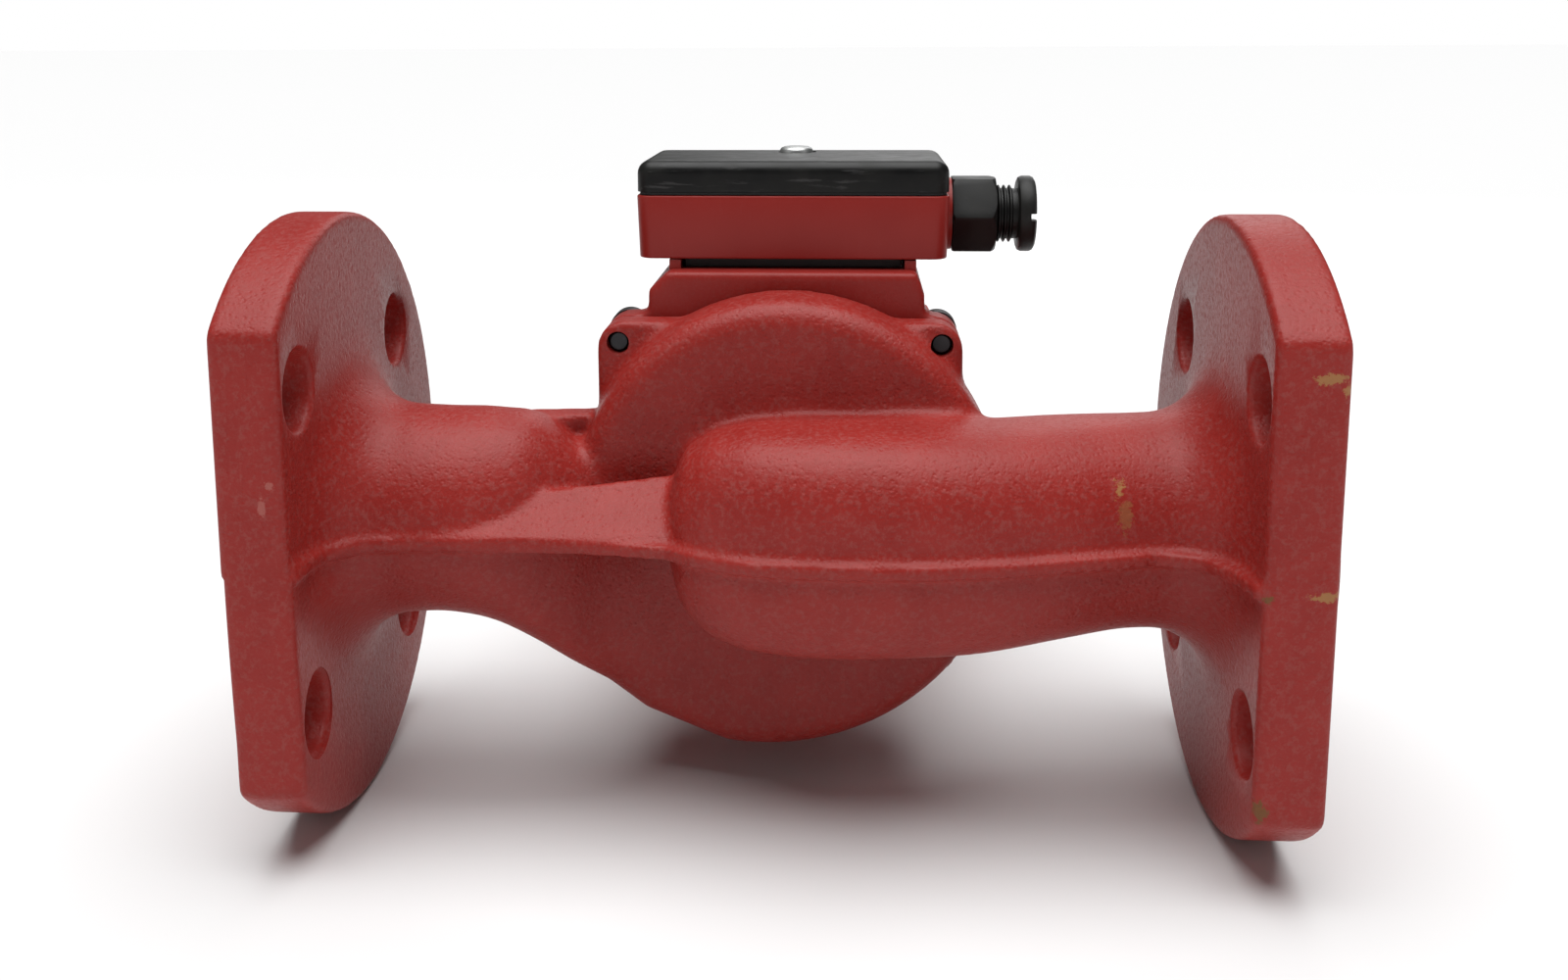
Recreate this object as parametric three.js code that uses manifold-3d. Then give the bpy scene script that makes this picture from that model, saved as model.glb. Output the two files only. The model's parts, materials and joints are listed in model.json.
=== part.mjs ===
// A flanged wet-rotor circulator pump for a heating main.
// Millimetres, +Z up. The pipe line runs along X, the motor points along +Y,
// and the origin is the centre of the inlet port, on its sealing face.
import * as THREE from 'three';
import { mergeVertices } from 'three/addons/utils/BufferGeometryUtils.js';
import Module from 'manifold-3d';

const wasm = await Module();
wasm.setup();

// Pipe flanges
const faceToFace = 250;
const flangeRadius = 75;
const flangeThickness = 16;
const flangeFlat = 52;
const raisedFaceRadius = 44;
const raisedFaceHeight = 2;
const boltCircleRadius = 55;
const boltHoleRadius = 9.5;
const pipeRadius = 26;
const neckFillet = 17;
const edgeRound = 2.5;

// Pump housing
const wall = 6;
const jointY = 20;
const voluteFrontY = -2;
const voluteRadius = 51.5;
const voluteGrowth = 11.5;
const voluteEdge = 4;
const channelFrontY = 4.5;
const channelBackY = 15;
const motorOpeningRadius = 45;
const sealSeatRadius = 47.6;
const sealSeatY = 18;
const earHalf = 46.4;
const earRound = 7;
const earFrontY = 10;
const boltPitch = 41;
const threadRadius = 2.9;
const eyeRadius = 20;
const partingZ = -1.2;
const ribThickness = 2.8;

// Rotating parts
const impellerRadius = 41;
const impellerEye = 15.5;
const impellerFrontY = 5.2;
const impellerBackY = 13.8;
const plateThickness = 1.2;
const vaneCount = 6;
const shaftRadius = 4;
const shaftEnds = [2, 120];
const rotorRadius = 20;
const rotorY = [47, 101];

// Motor
const motorY = [20.3, 138];
const motorRadius = 48;
const motorBore = 43.5;
const bossDepth = 10;
const endWall = 7;
const finCount = 15;
const finHeight = 5;
const finThickness = 3;
const canRadius = 22.5;
const canWall = 1;
const statorRadius = 43;
const statorY = [50, 98];
const slotCount = 12;
const slotWidth = 5;
const slotTopRadius = 35;
const windingOverhang = 12;
const nameplateRadii = [13, 34];

// Bearings and seals on the motor axis
const bearingOuter = 9.1;
const bearingSeatWall = 2;
const frontBearingY = [17, 26.5];
const rearBearingY = [111, 119.4];
const thrustBearing = { radius: 9.5, y: [27.4, 31] };
const thrustRetainer = { radius: 12, y: [31.3, 34] };
const bearingPlateWall = 1.4;
const neckRing = { inner: 17.3, y: [-0.5, 4.2] };
const canSeal = { inner: 36, outer: 39.4, y: [17.7, 21.4] };
const canFlangeRadius = 40;
const canY = [21.7, 125];

// Vent screw in the middle of the motor's end wall
const ventThread = 6;
const ventTipY = 127;
const ventHeadRadius = 8.6;
const ventHeadHeight = 3.8;
const ventSealHeight = 1.3;

const leadHoleX = [-14, -3];
const leadHoleY = [37.9, 48.9];
const leadRadius = 1.15;

// Terminal box
const boxX = [-38, 43.5];
const boxY = [25, 70];
const boxZ = [60.5, 77];
const coverTop = 86;
const boxWall = 3;
const boxCorner = 4;
const plinthX = [-29.4, 35];
const plinthEndY = 67;
const plinthTop = 57.8;
const coverScrewAt = [2.7, 60];
const baseScrewX = [-22, 28];
const baseScrewY = 33;
const earthScrewAt = [-30, 42];
const coverScrewTip = 68;
const blockX = [9, 21];
const blockY = [30, 54];
const blockTop = 75;
const poleX = 15;
const poleY = [34.5, 42, 49.5];
const wireZ = 68.2;
const capacitorAt = { x: [-33, -3], y: 56.9, z: 73.5, radius: 8.6 };

// Cable gland, on an axis along X
const glandY = 48;
const glandZ = 70.2;
const glandBossRadius = 9.7;
const glandSeatX = 45.2;
const glandHexLength = 11.5;
const glandNeckLength = 5.9;
const glandHeadLength = 4.6;
const glandHex = 19.4;
const glandThread = 7.7;
const glandBore = 5.3;
const glandHeadRadius = 10.2;
const glandEngagement = 3;
const glandWasherThickness = 0.7;
const glandSealLength = 2.2;

// Between neighbours
const gap = 0.3;

const quarter = Math.PI / 2;
const full = Math.PI * 2;

function material(color, roughness, metalness) {
  return new THREE.MeshStandardMaterial({ color, roughness, metalness });
}

const redPaint = () => material(0xa83a36, 0.5, 0.05);
const blackPlastic = () => material(0x1d1e1e, 0.45, 0.0);
const steel = () => material(0xb9bcc0, 0.35, 0.9);
const darkSteel = () => material(0x6a6d72, 0.5, 0.8);
const rubber = () => material(0x151515, 0.9, 0.0);
const copper = () => material(0xa65a33, 0.4, 0.6);
const brass = () => material(0xb99b52, 0.35, 0.9);
const ceramic = () => material(0xe6e1d6, 0.4, 0.0);
const carbon = () => material(0x2c2c2e, 0.6, 0.1);

// Turns a closed geometry into a solid, whichever way its faces were wound.
function solid(geometry) {
  const bare = geometry.clone();
  bare.deleteAttribute('normal');
  bare.deleteAttribute('uv');
  const merged = mergeVertices(bare, 1e-4);
  const points = merged.attributes.position.array;
  const corners = merged.index.array;
  const triangles = [];
  let volume = 0;
  for (let i = 0; i < corners.length; i += 3) {
    const [a, b, c] = [corners[i], corners[i + 1], corners[i + 2]];
    if (a === b || b === c || c === a) continue;
    triangles.push(a, b, c);
    const [p, q, r] = [a, b, c].map((k) => new THREE.Vector3().fromArray(points, 3 * k));
    volume += p.dot(q.cross(r));
  }
  if (volume < 0) triangles.reverse();
  return new wasm.Manifold(new wasm.Mesh({
    numProp: 3,
    vertProperties: new Float32Array(points),
    triVerts: new Uint32Array(triangles),
  }));
}

function toGeometry(body) {
  const mesh = body.getMesh();
  const geometry = new THREE.BufferGeometry();
  const positions = new Float32Array(mesh.vertProperties);
  geometry.setAttribute('position', new THREE.BufferAttribute(positions, 3));
  geometry.setIndex(new THREE.BufferAttribute(new Uint32Array(mesh.triVerts), 1));
  return geometry;
}

const union = (bodies) => bodies.reduce((whole, next) => whole.add(next));
const cut = (body, tools) => tools.reduce((left, tool) => left.subtract(tool), body);

// Solids of revolution. A profile is a list of [radius, along] points.
function turned(profile, segments = 32) {
  const points = profile.map(([radius, along]) => new THREE.Vector2(radius, along));
  return new THREE.LatheGeometry(points, segments);
}

function turnedY(profile, segments) {
  return solid(turned(profile, segments));
}

function turnedX(profile, segments, x = 0, y = 0, z = 0) {
  return solid(turned(profile, segments).rotateZ(-quarter).translate(x, y, z));
}

function turnedZ(profile, segments, x = 0, y = 0, z = 0) {
  return solid(turned(profile, segments).rotateX(quarter).translate(x, y, z));
}

function ringProfile(inner, outer, from, to) {
  return [[inner, from], [outer, from], [outer, to], [inner, to], [inner, from]];
}

function rodProfile(radius, from, to) {
  return [[0, from], [radius, from], [radius, to], [0, to]];
}

function rodAlongY(radius, from, to, x = 0, z = 0, segments = 24) {
  return solid(turned(rodProfile(radius, from, to), segments).translate(x, 0, z));
}

function box(x, y, z) {
  const geometry = new THREE.BoxGeometry(x[1] - x[0], y[1] - y[0], z[1] - z[0]);
  return solid(geometry.translate((x[0] + x[1]) / 2, (y[0] + y[1]) / 2, (z[0] + z[1]) / 2));
}

// Extrusions of an outline: along X from an outline in Y and Z, along Y from one in X and Z.
function extruded(shape, depth, bevel, bevelSegments = 2, curveSegments = 6) {
  return new THREE.ExtrudeGeometry(shape, {
    depth: depth - 2 * bevel,
    bevelEnabled: bevel > 0,
    bevelSize: bevel,
    bevelThickness: bevel,
    bevelOffset: -bevel,
    bevelSegments,
    curveSegments,
  }).translate(0, 0, bevel);
}

function alongX(geometry, x) {
  const turn = new THREE.Matrix4().makeBasis(
    new THREE.Vector3(0, 1, 0),
    new THREE.Vector3(0, 0, 1),
    new THREE.Vector3(1, 0, 0),
  );
  return solid(geometry.applyMatrix4(turn).translate(x, 0, 0));
}

function alongY(geometry, backY) {
  return solid(geometry.rotateX(quarter).translate(0, backY, 0));
}

function alongZ(geometry, z) {
  return solid(geometry.translate(0, 0, z));
}

function outline(points) {
  return new THREE.Shape(points.map(([a, b]) => new THREE.Vector2(a, b)));
}

function roundedRect([left, right], [low, high], radius) {
  const shape = new THREE.Shape();
  shape.moveTo(left + radius, low);
  shape.lineTo(right - radius, low);
  shape.absarc(right - radius, low + radius, radius, -quarter, 0, false);
  shape.lineTo(right, high - radius);
  shape.absarc(right - radius, high - radius, radius, 0, quarter, false);
  shape.lineTo(left + radius, high);
  shape.absarc(left + radius, high - radius, radius, quarter, 2 * quarter, false);
  shape.lineTo(left, low + radius);
  shape.absarc(left + radius, low + radius, radius, 2 * quarter, 3 * quarter, false);
  return shape;
}

function hexagon(acrossFlats) {
  const corner = acrossFlats / Math.sqrt(3);
  const points = [];
  for (let i = 0; i < 6; i += 1) {
    const angle = (i * full) / 6;
    points.push([corner * Math.cos(angle), corner * Math.sin(angle)]);
  }
  return outline(points);
}

// A duct drawn through sections square to X. Each one gives its X, its lowest and highest
// Y and Z, and how square it is: 2 is an ellipse and more has flatter sides.
function duct(sections, inset = 0, around = 22) {
  const positions = [];
  const index = [];
  for (const { x, y, z, square } of sections) {
    const halfY = (y[1] - y[0]) / 2 - inset;
    const halfZ = (z[1] - z[0]) / 2 - inset;
    for (let i = 0; i < around; i += 1) {
      const angle = (i * full) / around;
      const across = Math.sign(Math.cos(angle)) * Math.abs(Math.cos(angle)) ** (2 / square);
      const up = Math.sign(Math.sin(angle)) * Math.abs(Math.sin(angle)) ** (2 / square);
      positions.push(x, (y[0] + y[1]) / 2 + halfY * across, (z[0] + z[1]) / 2 + halfZ * up);
    }
  }
  for (let s = 0; s < sections.length - 1; s += 1) {
    for (let i = 0; i < around; i += 1) {
      const a = s * around + i;
      const b = s * around + ((i + 1) % around);
      index.push(a, b, b + around, a, b + around, a + around);
    }
  }
  for (const [s, flip] of [[0, false], [sections.length - 1, true]]) {
    const { x, y, z } = sections[s];
    const centre = positions.length / 3;
    positions.push(x, (y[0] + y[1]) / 2, (z[0] + z[1]) / 2);
    for (let i = 0; i < around; i += 1) {
      const a = s * around + i;
      const b = s * around + ((i + 1) % around);
      index.push(centre, flip ? a : b, flip ? b : a);
    }
  }
  const geometry = new THREE.BufferGeometry();
  geometry.setAttribute('position', new THREE.Float32BufferAttribute(positions, 3));
  geometry.setIndex(index);
  return solid(geometry);
}

const pump = new THREE.Group();
pump.position.x = -faceToFace / 2;

function addPiece(name, body, finish, parent = pump) {
  const mesh = new THREE.Mesh(toGeometry(body), finish);
  mesh.name = name;
  parent.add(mesh);
  return mesh;
}

// ---- Pump housing ----

const discOuterX = faceToFace / 2 - raisedFaceHeight;
const discInnerX = discOuterX - flangeThickness;

function flangeDisc() {
  const half = Math.acos(flangeFlat / flangeRadius);
  const shape = new THREE.Shape();
  shape.absarc(0, 0, flangeRadius, half - 2 * quarter, 2 * quarter - half, false);
  shape.closePath();
  return extruded(shape, flangeThickness, edgeRound, 1, 18);
}

// The neck starts inside the duct and sweeps out into the disc.
function neckProfile() {
  const middle = discInnerX - neckFillet;
  const points = [[0, middle - 6], [pipeRadius - 3, middle - 6], [pipeRadius, middle]];
  const steps = 3;
  for (let i = 1; i <= steps; i += 1) {
    const angle = (i / steps) * quarter;
    points.push([pipeRadius + neckFillet * (1 - Math.cos(angle)), middle + neckFillet * Math.sin(angle)]);
  }
  points.push([pipeRadius + neckFillet, discInnerX + 1], [0, discInnerX + 1]);
  return points;
}

function pipeEnd(side) {
  const disc = side > 0 ? alongX(flangeDisc(), discInnerX) : alongX(flangeDisc(), -discOuterX);
  const neck = turnedX(neckProfile().map(([radius, along]) => [radius, side * along]), 24);
  const face = rodProfile(raisedFaceRadius, side * (discOuterX - 1), side * (faceToFace / 2));
  return union([disc, neck, turnedX(face, 24)]);
}

// The volute grows clockwise, seen from the front, from the tongue on the left round to
// the throat at the lower left.
function voluteOutline(inset) {
  const points = [];
  const steps = 24;
  const lastTurn = 282;
  for (let i = 0; i <= steps; i += 1) {
    const turn = (i / steps) * lastTurn;
    const radius = voluteRadius + voluteGrowth * (turn / 270) ** 1.6 - inset;
    const angle = THREE.MathUtils.degToRad(180 - turn);
    points.push([radius * Math.cos(angle), radius * Math.sin(angle)]);
  }
  points.push([-34, -54 + inset], [-50 + inset, -42 + inset], [-53 + inset, -26]);
  return outline(points.reverse());
}

const dischargeSections = [
  { x: -112, y: [-20, 20], z: [-20, 20], square: 2 },
  { x: -95, y: [-26, 26], z: [-26, 26], square: 2 },
  { x: -82, y: [-25.8, 26], z: [-26, 26], square: 2 },
  { x: -70, y: [-24, 25.5], z: [-28.5, 25.5], square: 2.1 },
  { x: -60, y: [-20, 23.5], z: [-34, 23.5], square: 2.3 },
  { x: -52, y: [-14, 19.8], z: [-40, 17], square: 2.5 },
  { x: -42, y: [-6, 19.2], z: [-47.5, 8], square: 2.8 },
  { x: -26, y: [-2, 19], z: [-56, -24], square: 2.8 },
];

const suctionSections = [
  { x: 112, y: [-20, 20], z: [-20, 20], square: 2 },
  { x: 95, y: [-26, 26], z: [-26, 26], square: 2 },
  { x: 84, y: [-27.5, 25], z: [-26.2, 26], square: 2.1 },
  { x: 68, y: [-32, 21], z: [-27, 26], square: 2.4 },
  { x: 50, y: [-37, 14], z: [-28, 26], square: 2.7 },
  { x: 28, y: [-40, 9], z: [-28.3, 26.5], square: 2.9 },
  { x: 4, y: [-39.5, 6], z: [-28, 26.5], square: 2.9 },
  { x: -9, y: [-37, 5], z: [-26.5, 25.5], square: 2.7 },
  { x: -18, y: [-32.5, 4], z: [-22.5, 22], square: 2.5 },
  { x: -23, y: [-27.5, 2], z: [-16.5, 16.5], square: 2.2 },
  { x: -25.5, y: [-20.5, -3], z: [-8.5, 8.5], square: 2 },
];

// The rib on the parting plane: a web between the discharge pipe and the suction duct,
// which carries on round the duct as a bead.
function partingRib() {
  const front = new THREE.SplineCurve([
    [-106, -50], [-103.5, -36], [-97, -29], [-86, -27.2], [-60, -27.2], [-40, -28], [-25, -30.5],
    [-17, -36], [-4, -40.3], [16, -41.5], [36, -40.8], [56, -37], [74, -31.8], [89, -28],
    [98, -31], [103.5, -40], [106, -52],
  ].map(([x, y]) => new THREE.Vector2(x, y)));
  const points = front.getPoints(26).map((point) => [point.x, point.y]);
  points.push([106, -20], [60, -10], [-10, -10], [-20, 2], [-58, 2], [-80, -16], [-106, -20]);
  return alongZ(extruded(outline(points), ribThickness, 0), partingZ - ribThickness / 2);
}

// The thin web along the top of the discharge pipe, back to the corner of the bolting plate.
function topWeb() {
  const shape = outline([[-76, 4], [-60, 7], [-44, earFrontY], [-44, jointY - 1], [-76, 14]]);
  return alongZ(extruded(shape, 3.4, 0), 19);
}

function boltingPlate(fromY, toY) {
  const shape = roundedRect([-earHalf, earHalf], [-earHalf, earHalf], earRound);
  return alongY(extruded(shape, toY - fromY, 0, 1, 3), toY);
}

function boltPlaces(pitch) {
  return [[-pitch, pitch], [pitch, pitch], [pitch, -pitch], [-pitch, -pitch]];
}

function pumpHousing() {
  const voluteDepth = jointY - voluteFrontY + 2 * voluteEdge;
  const volute = alongY(extruded(voluteOutline(0), voluteDepth, voluteEdge, 2), jointY + 2 * voluteEdge)
    .subtract(box([-90, 90], [jointY, jointY + 20], [-90, 90]));
  const outside = union([
    pipeEnd(1),
    pipeEnd(-1),
    volute,
    duct(suctionSections),
    duct(dischargeSections),
    partingRib(),
    topWeb(),
    boltingPlate(earFrontY, jointY),
  ]);
  const outerEnd = { y: [-26, 26], z: [-26, 26], square: 2 };
  const innerSuction = [{ x: 130, ...outerEnd }, ...suctionSections.slice(1, -1)];
  const innerDischarge = [{ x: -130, ...outerEnd }, ...dischargeSections.slice(1)];
  const tools = [
    duct(innerSuction, wall, 14),
    duct(innerDischarge, wall, 14),
    alongY(extruded(voluteOutline(wall), channelBackY - channelFrontY, 0), channelBackY),
    rodAlongY(motorOpeningRadius, channelBackY - 4, jointY + 1, 0, 0, 24),
    rodAlongY(sealSeatRadius, sealSeatY, jointY + 1, 0, 0, 24),
    rodAlongY(eyeRadius, -14, channelFrontY + 1, 0, 0, 24),
  ];
  for (const [x, z] of boltPlaces(boltPitch)) {
    tools.push(rodAlongY(threadRadius, earFrontY - 1, jointY + 1, x, z, 10));
  }
  for (const [y, z] of boltPlaces(boltCircleRadius * Math.SQRT1_2)) {
    for (const side of [-1, 1]) {
      const hole = rodProfile(boltHoleRadius, side * (discInnerX - 8), side * (discOuterX + 3));
      tools.push(turnedX(hole, 14, 0, y, z));
    }
  }
  return cut(outside, tools);
}

// ---- Rotating parts, all turned about the motor axis ----

function impellerFrontShroud() {
  const back = impellerFrontY + plateThickness;
  const skirt = impellerEye + 1.4;
  return turnedY([
    [impellerEye, 0], [skirt, 0], [skirt, impellerFrontY], [impellerRadius, impellerFrontY],
    [impellerRadius, back], [impellerEye, back], [impellerEye, 0],
  ], 24);
}

function vane(start) {
  const innerSide = [];
  const outerSide = [];
  const steps = 6;
  const sweep = 1.25;
  const halfThick = 0.7;
  for (let i = 0; i <= steps; i += 1) {
    const radius = impellerEye + 2 + (i / steps) * (impellerRadius - impellerEye - 3);
    const angle = start + (i / steps) * sweep;
    const lean = halfThick / radius;
    innerSide.push([radius * Math.cos(angle - 2 * lean), radius * Math.sin(angle - 2 * lean)]);
    outerSide.push([radius * Math.cos(angle + 2 * lean), radius * Math.sin(angle + 2 * lean)]);
  }
  return outline([...innerSide, ...outerSide.reverse()]);
}

function impeller() {
  const hubBore = shaftRadius - 1 + gap;
  const plateFront = impellerBackY - plateThickness;
  const hub = turnedY([
    [hubBore, 8], [8, 8], [8, plateFront], [impellerRadius, plateFront],
    [impellerRadius, impellerBackY], [8, impellerBackY], [8, 15], [hubBore, 15], [hubBore, 8],
  ], 24);
  const vaneDepth = plateFront - impellerFrontY - plateThickness;
  const vanes = [];
  for (let i = 0; i < vaneCount; i += 1) {
    vanes.push(alongY(extruded(vane((i * full) / vaneCount), vaneDepth, 0), plateFront + 0.1));
  }
  return union([hub, ...vanes]);
}

function impellerNut() {
  const nut = alongY(extruded(hexagon(10), 4.4, 0), 7.7);
  return nut.subtract(rodAlongY(shaftRadius - 1 + gap, 2, 9, 0, 0, 16));
}

function shaft() {
  const [front, back] = shaftEnds;
  const shoulder = 15.3;
  return turnedY([
    [0, front], [shaftRadius - 1, front], [shaftRadius - 1, shoulder], [shaftRadius, shoulder],
    [shaftRadius, back], [0, back],
  ], 16);
}

function onShaft(outer, from, to, segments = 16) {
  return turnedY(ringProfile(shaftRadius + gap, outer, from, to), segments);
}

function rotorSleeve() {
  const [front, back] = rotorY;
  return turnedY(ringProfile(rotorRadius, rotorRadius + 0.6, front - 1, back + 1), 24);
}

// ---- Bearings, seals and the rotor can ----

// A pressed dish between the volute and the motor, with the front bearing's seat in it.
function bearingPlate() {
  const bore = bearingOuter + gap;
  const seat = bore + bearingSeatWall;
  const front = channelBackY + 1;
  const back = front + bearingPlateWall;
  const seatEnd = frontBearingY[1] + 0.5;
  const rim = motorOpeningRadius - 0.4;
  const lip = sealSeatRadius - 0.2;
  const lipFront = jointY + gap;
  const lipBack = lipFront + 1;
  const inside = rim - 1.6;
  return turnedY([
    [bore, front], [rim, front], [rim, lipFront], [lip, lipFront], [lip, lipBack],
    [inside, lipBack], [inside, back], [seat, back], [seat, seatEnd], [bore, seatEnd], [bore, front],
  ], 24);
}

// The wet sleeve that keeps the water out of the stator, open at the vent screw.
function rotorCan() {
  const inner = canRadius - canWall;
  const [front, back] = canY;
  const mouth = bearingOuter + 0.5;
  return turnedY([
    [inner, front], [canFlangeRadius, front], [canFlangeRadius, front + canWall],
    [canRadius, front + canWall], [canRadius, back], [mouth, back], [mouth, back - canWall],
    [inner, back - canWall], [inner, front],
  ], 24);
}

function rearBearingSeat() {
  const [front, back] = [rearBearingY[0] - 1, rearBearingY[1] + 0.6];
  const bore = bearingOuter + gap;
  const seat = bore + 1.6;
  const rim = canRadius - canWall - 0.4;
  const webFront = front + 3;
  const webBack = webFront + 2;
  return turnedY([
    [bore, front], [seat, front], [seat, webFront], [rim, webFront], [rim, webBack],
    [seat, webBack], [seat, back], [bore, back], [bore, front],
  ], 24);
}

// ---- Motor ----

function statorCore() {
  const [front, back] = statorY;
  const inner = canRadius + 0.5;
  const slots = [];
  for (let i = 0; i < slotCount; i += 1) {
    const slot = new THREE.BoxGeometry(slotWidth, back - front + 2, slotTopRadius - inner + 2);
    slot.translate(0, (front + back) / 2, (slotTopRadius + inner) / 2 - 1);
    slots.push(solid(slot.rotateY((i * full) / slotCount)));
  }
  return cut(turnedY(ringProfile(inner, statorRadius, front, back), 24), slots);
}

// Two rounded end turns, joined by a bundle of wire through each slot.
function statorWinding() {
  const [front, back] = statorY;
  const [inner, outer] = [canRadius + 1.5, slotTopRadius + 2];
  const round = 3;
  const endTurn = (from, to) => turnedY([
    [inner, from + round], [inner + round, from], [outer - round, from], [outer, from + round],
    [outer, to - round], [outer - round, to], [inner + round, to], [inner, to - round],
    [inner, from + round],
  ], 20);
  const pieces = [
    endTurn(front - gap - windingOverhang, front - gap),
    endTurn(back + gap, back + gap + windingOverhang),
  ];
  for (let i = 0; i < slotCount; i += 1) {
    const bundle = new THREE.BoxGeometry(slotWidth - 1, back - front + 8, slotTopRadius - inner - 4);
    bundle.translate(0, (front + back) / 2, (slotTopRadius + inner) / 2);
    pieces.push(solid(bundle.rotateY((i * full) / slotCount)));
  }
  return union(pieces);
}

function plinth() {
  const [left, right] = plinthX;
  const shape = outline([
    [left - 5, 0], [right + 2, 0], [right + 2, plinthTop - 5.5], [right, plinthTop],
    [left, plinthTop], [left - 5, plinthTop - 5],
  ]);
  const block = alongY(extruded(shape, plinthEndY - motorY[0], 0), plinthEndY);
  const rails = [left, right - 3].map((x) => (
    box([x, x + 3], [boxY[0] + 1, plinthEndY], [plinthTop - 1, boxZ[0] - gap])
  ));
  return union([block, ...rails]);
}

function motorHousing() {
  const [front, back] = motorY;
  const shell = turnedY([
    [0, front], [motorRadius, front], [motorRadius, back - 5], [motorRadius - 5, back], [0, back],
  ], 24);
  const fins = [];
  for (let i = 0; i < finCount; i += 1) {
    const angle = (55 + (i / (finCount - 1)) * 250) * THREE.MathUtils.DEG2RAD;
    const fin = new THREE.BoxGeometry(finThickness, back - front - 22, finHeight + 4);
    fin.translate(0, (front + back) / 2 + 6, motorRadius + (finHeight - 4) / 2);
    fins.push(solid(fin.rotateY(angle)));
  }
  const outside = union([shell, plinth(), boltingPlate(front, front + bossDepth), ...fins]);
  const tools = [
    rodAlongY(sealSeatRadius + 0.2, front - 1, front + 1.4, 0, 0, 24),
    rodAlongY(motorBore, front, back - endWall, 0, 0, 24),
    rodAlongY(ventThread + 2 * gap, back - endWall - 1, back + 1, 0, 0, 20),
    box(leadHoleX, leadHoleY, [30, plinthTop + 1]),
  ];
  for (const [x, z] of boltPlaces(boltPitch)) {
    tools.push(rodAlongY(threadRadius + gap, front - 1, front + bossDepth + 1, x, z, 12));
    tools.push(rodAlongY(6.3, front + bossDepth, back, x, z, 16));
  }
  for (const x of baseScrewX) {
    tools.push(turnedZ(rodProfile(2.3, 47, plinthTop + 1), 12, x, baseScrewY));
  }
  return cut(outside, tools);
}

function socketScrew(x, z) {
  const headFrom = motorY[0] + bossDepth + gap;
  const headTo = headFrom + 6;
  const body = turnedY([
    [0, 12], [2.6, 12], [2.6, headFrom], [5, headFrom], [5, headTo - 0.6], [4.4, headTo],
    [0, headTo],
  ], 12);
  const socket = alongY(extruded(hexagon(5), 3.5, 0), headTo + 0.5);
  return body.subtract(socket).translate([x, 0, z]);
}

function ventScrew() {
  const head = motorY[1] + ventSealHeight + gap;
  const top = head + ventHeadHeight;
  const body = turnedY([
    [0, ventTipY], [ventThread, ventTipY], [ventThread, head], [ventHeadRadius, head],
    [ventHeadRadius, top - 0.8], [ventHeadRadius - 0.8, top], [0, top],
  ], 20);
  return body.subtract(box([-10, 10], [top - 2.2, top + 1], [-0.9, 0.9]));
}

// ---- Terminal box ----

function shrunk([low, high], amount) {
  return [low + amount, high - amount];
}

function boxOutline(amount) {
  return roundedRect(shrunk(boxX, amount), shrunk(boxY, amount), Math.max(boxCorner - amount, 1.5));
}

function postAt(radius, from, to, [x, y], segments = 12) {
  return turnedZ(rodProfile(radius, from, to), segments, x, y);
}

function glandRod(radius, from, to, segments = 16) {
  return turnedX(rodProfile(radius, from, to), segments, 0, glandY, glandZ);
}

function terminalBoxBase() {
  const [bottom, top] = boxZ;
  const floor = bottom + boxWall;
  const tray = alongZ(extruded(boxOutline(0), top - bottom, 0, 1, 3), bottom);
  const hollow = alongZ(extruded(boxOutline(boxWall), top - floor + 1, 0, 1, 3), floor);
  const walls = union([
    tray.subtract(hollow),
    glandRod(glandBossRadius, boxX[1] - boxWall, glandSeatX - gap),
    postAt(4.6, bottom + 1, top, coverScrewAt),
  ]);
  const tools = [
    glandRod(8.3, boxX[1] - 10, boxX[1] + 5),
    postAt(2.3, floor + 1, top + 1, coverScrewAt, 12),
    postAt(2, floor - 2.2, floor + 1, earthScrewAt),
    box(leadHoleX, leadHoleY, [bottom - 1, floor + 1]),
  ];
  for (const x of baseScrewX) {
    tools.push(postAt(2.3, bottom - 1, floor + 1, [x, baseScrewY], 12));
  }
  return cut(walls, tools);
}

function boxGasket() {
  const [left, right] = plinthX;
  const thickness = [plinthTop + gap, boxZ[0] - gap];
  const frame = box([left + 4, right - 4], [boxY[0] + 4, plinthEndY - 0.5], thickness);
  const tools = [box(shrunk(leadHoleX, -0.5), shrunk(leadHoleY, -0.5), [plinthTop - 1, boxZ[0] + 1])];
  for (const x of baseScrewX) {
    tools.push(postAt(2.6, plinthTop - 1, boxZ[0] + 1, [x, baseScrewY], 12));
  }
  return cut(frame, tools);
}

function coverSeal() {
  const bottom = boxZ[1] + gap / 2;
  const ring = extruded(boxOutline(0.8), 0.6, 0, 1, 3);
  const hole = extruded(boxOutline(2.6), 4, 0, 1, 3);
  return cut(alongZ(ring, bottom), [
    alongZ(hole, bottom - 1),
    glandRod(glandBossRadius + gap, boxX[1] - 12, boxX[1] + 5),
  ]);
}

function terminalBoxCover() {
  const bottom = boxZ[1] + 0.9;
  const round = 2.4;
  const shell = alongZ(extruded(boxOutline(0.2), coverTop - bottom + 4, round, 2, 3), bottom - 4)
    .subtract(box([-60, 60], [0, 130], [bottom - 8, bottom]));
  return cut(shell, [
    alongZ(extruded(boxOutline(2.6), coverTop - 2.5 - bottom + 1, 0, 1, 3), bottom - 1),
    glandRod(glandBossRadius + gap, boxX[1] - 12, boxX[1] + 5),
    postAt(2.4, bottom, coverTop + 1, coverScrewAt, 12),
    postAt(5.3, coverTop - 1.6, coverTop + 1, coverScrewAt, 16),
  ]);
}

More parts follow.
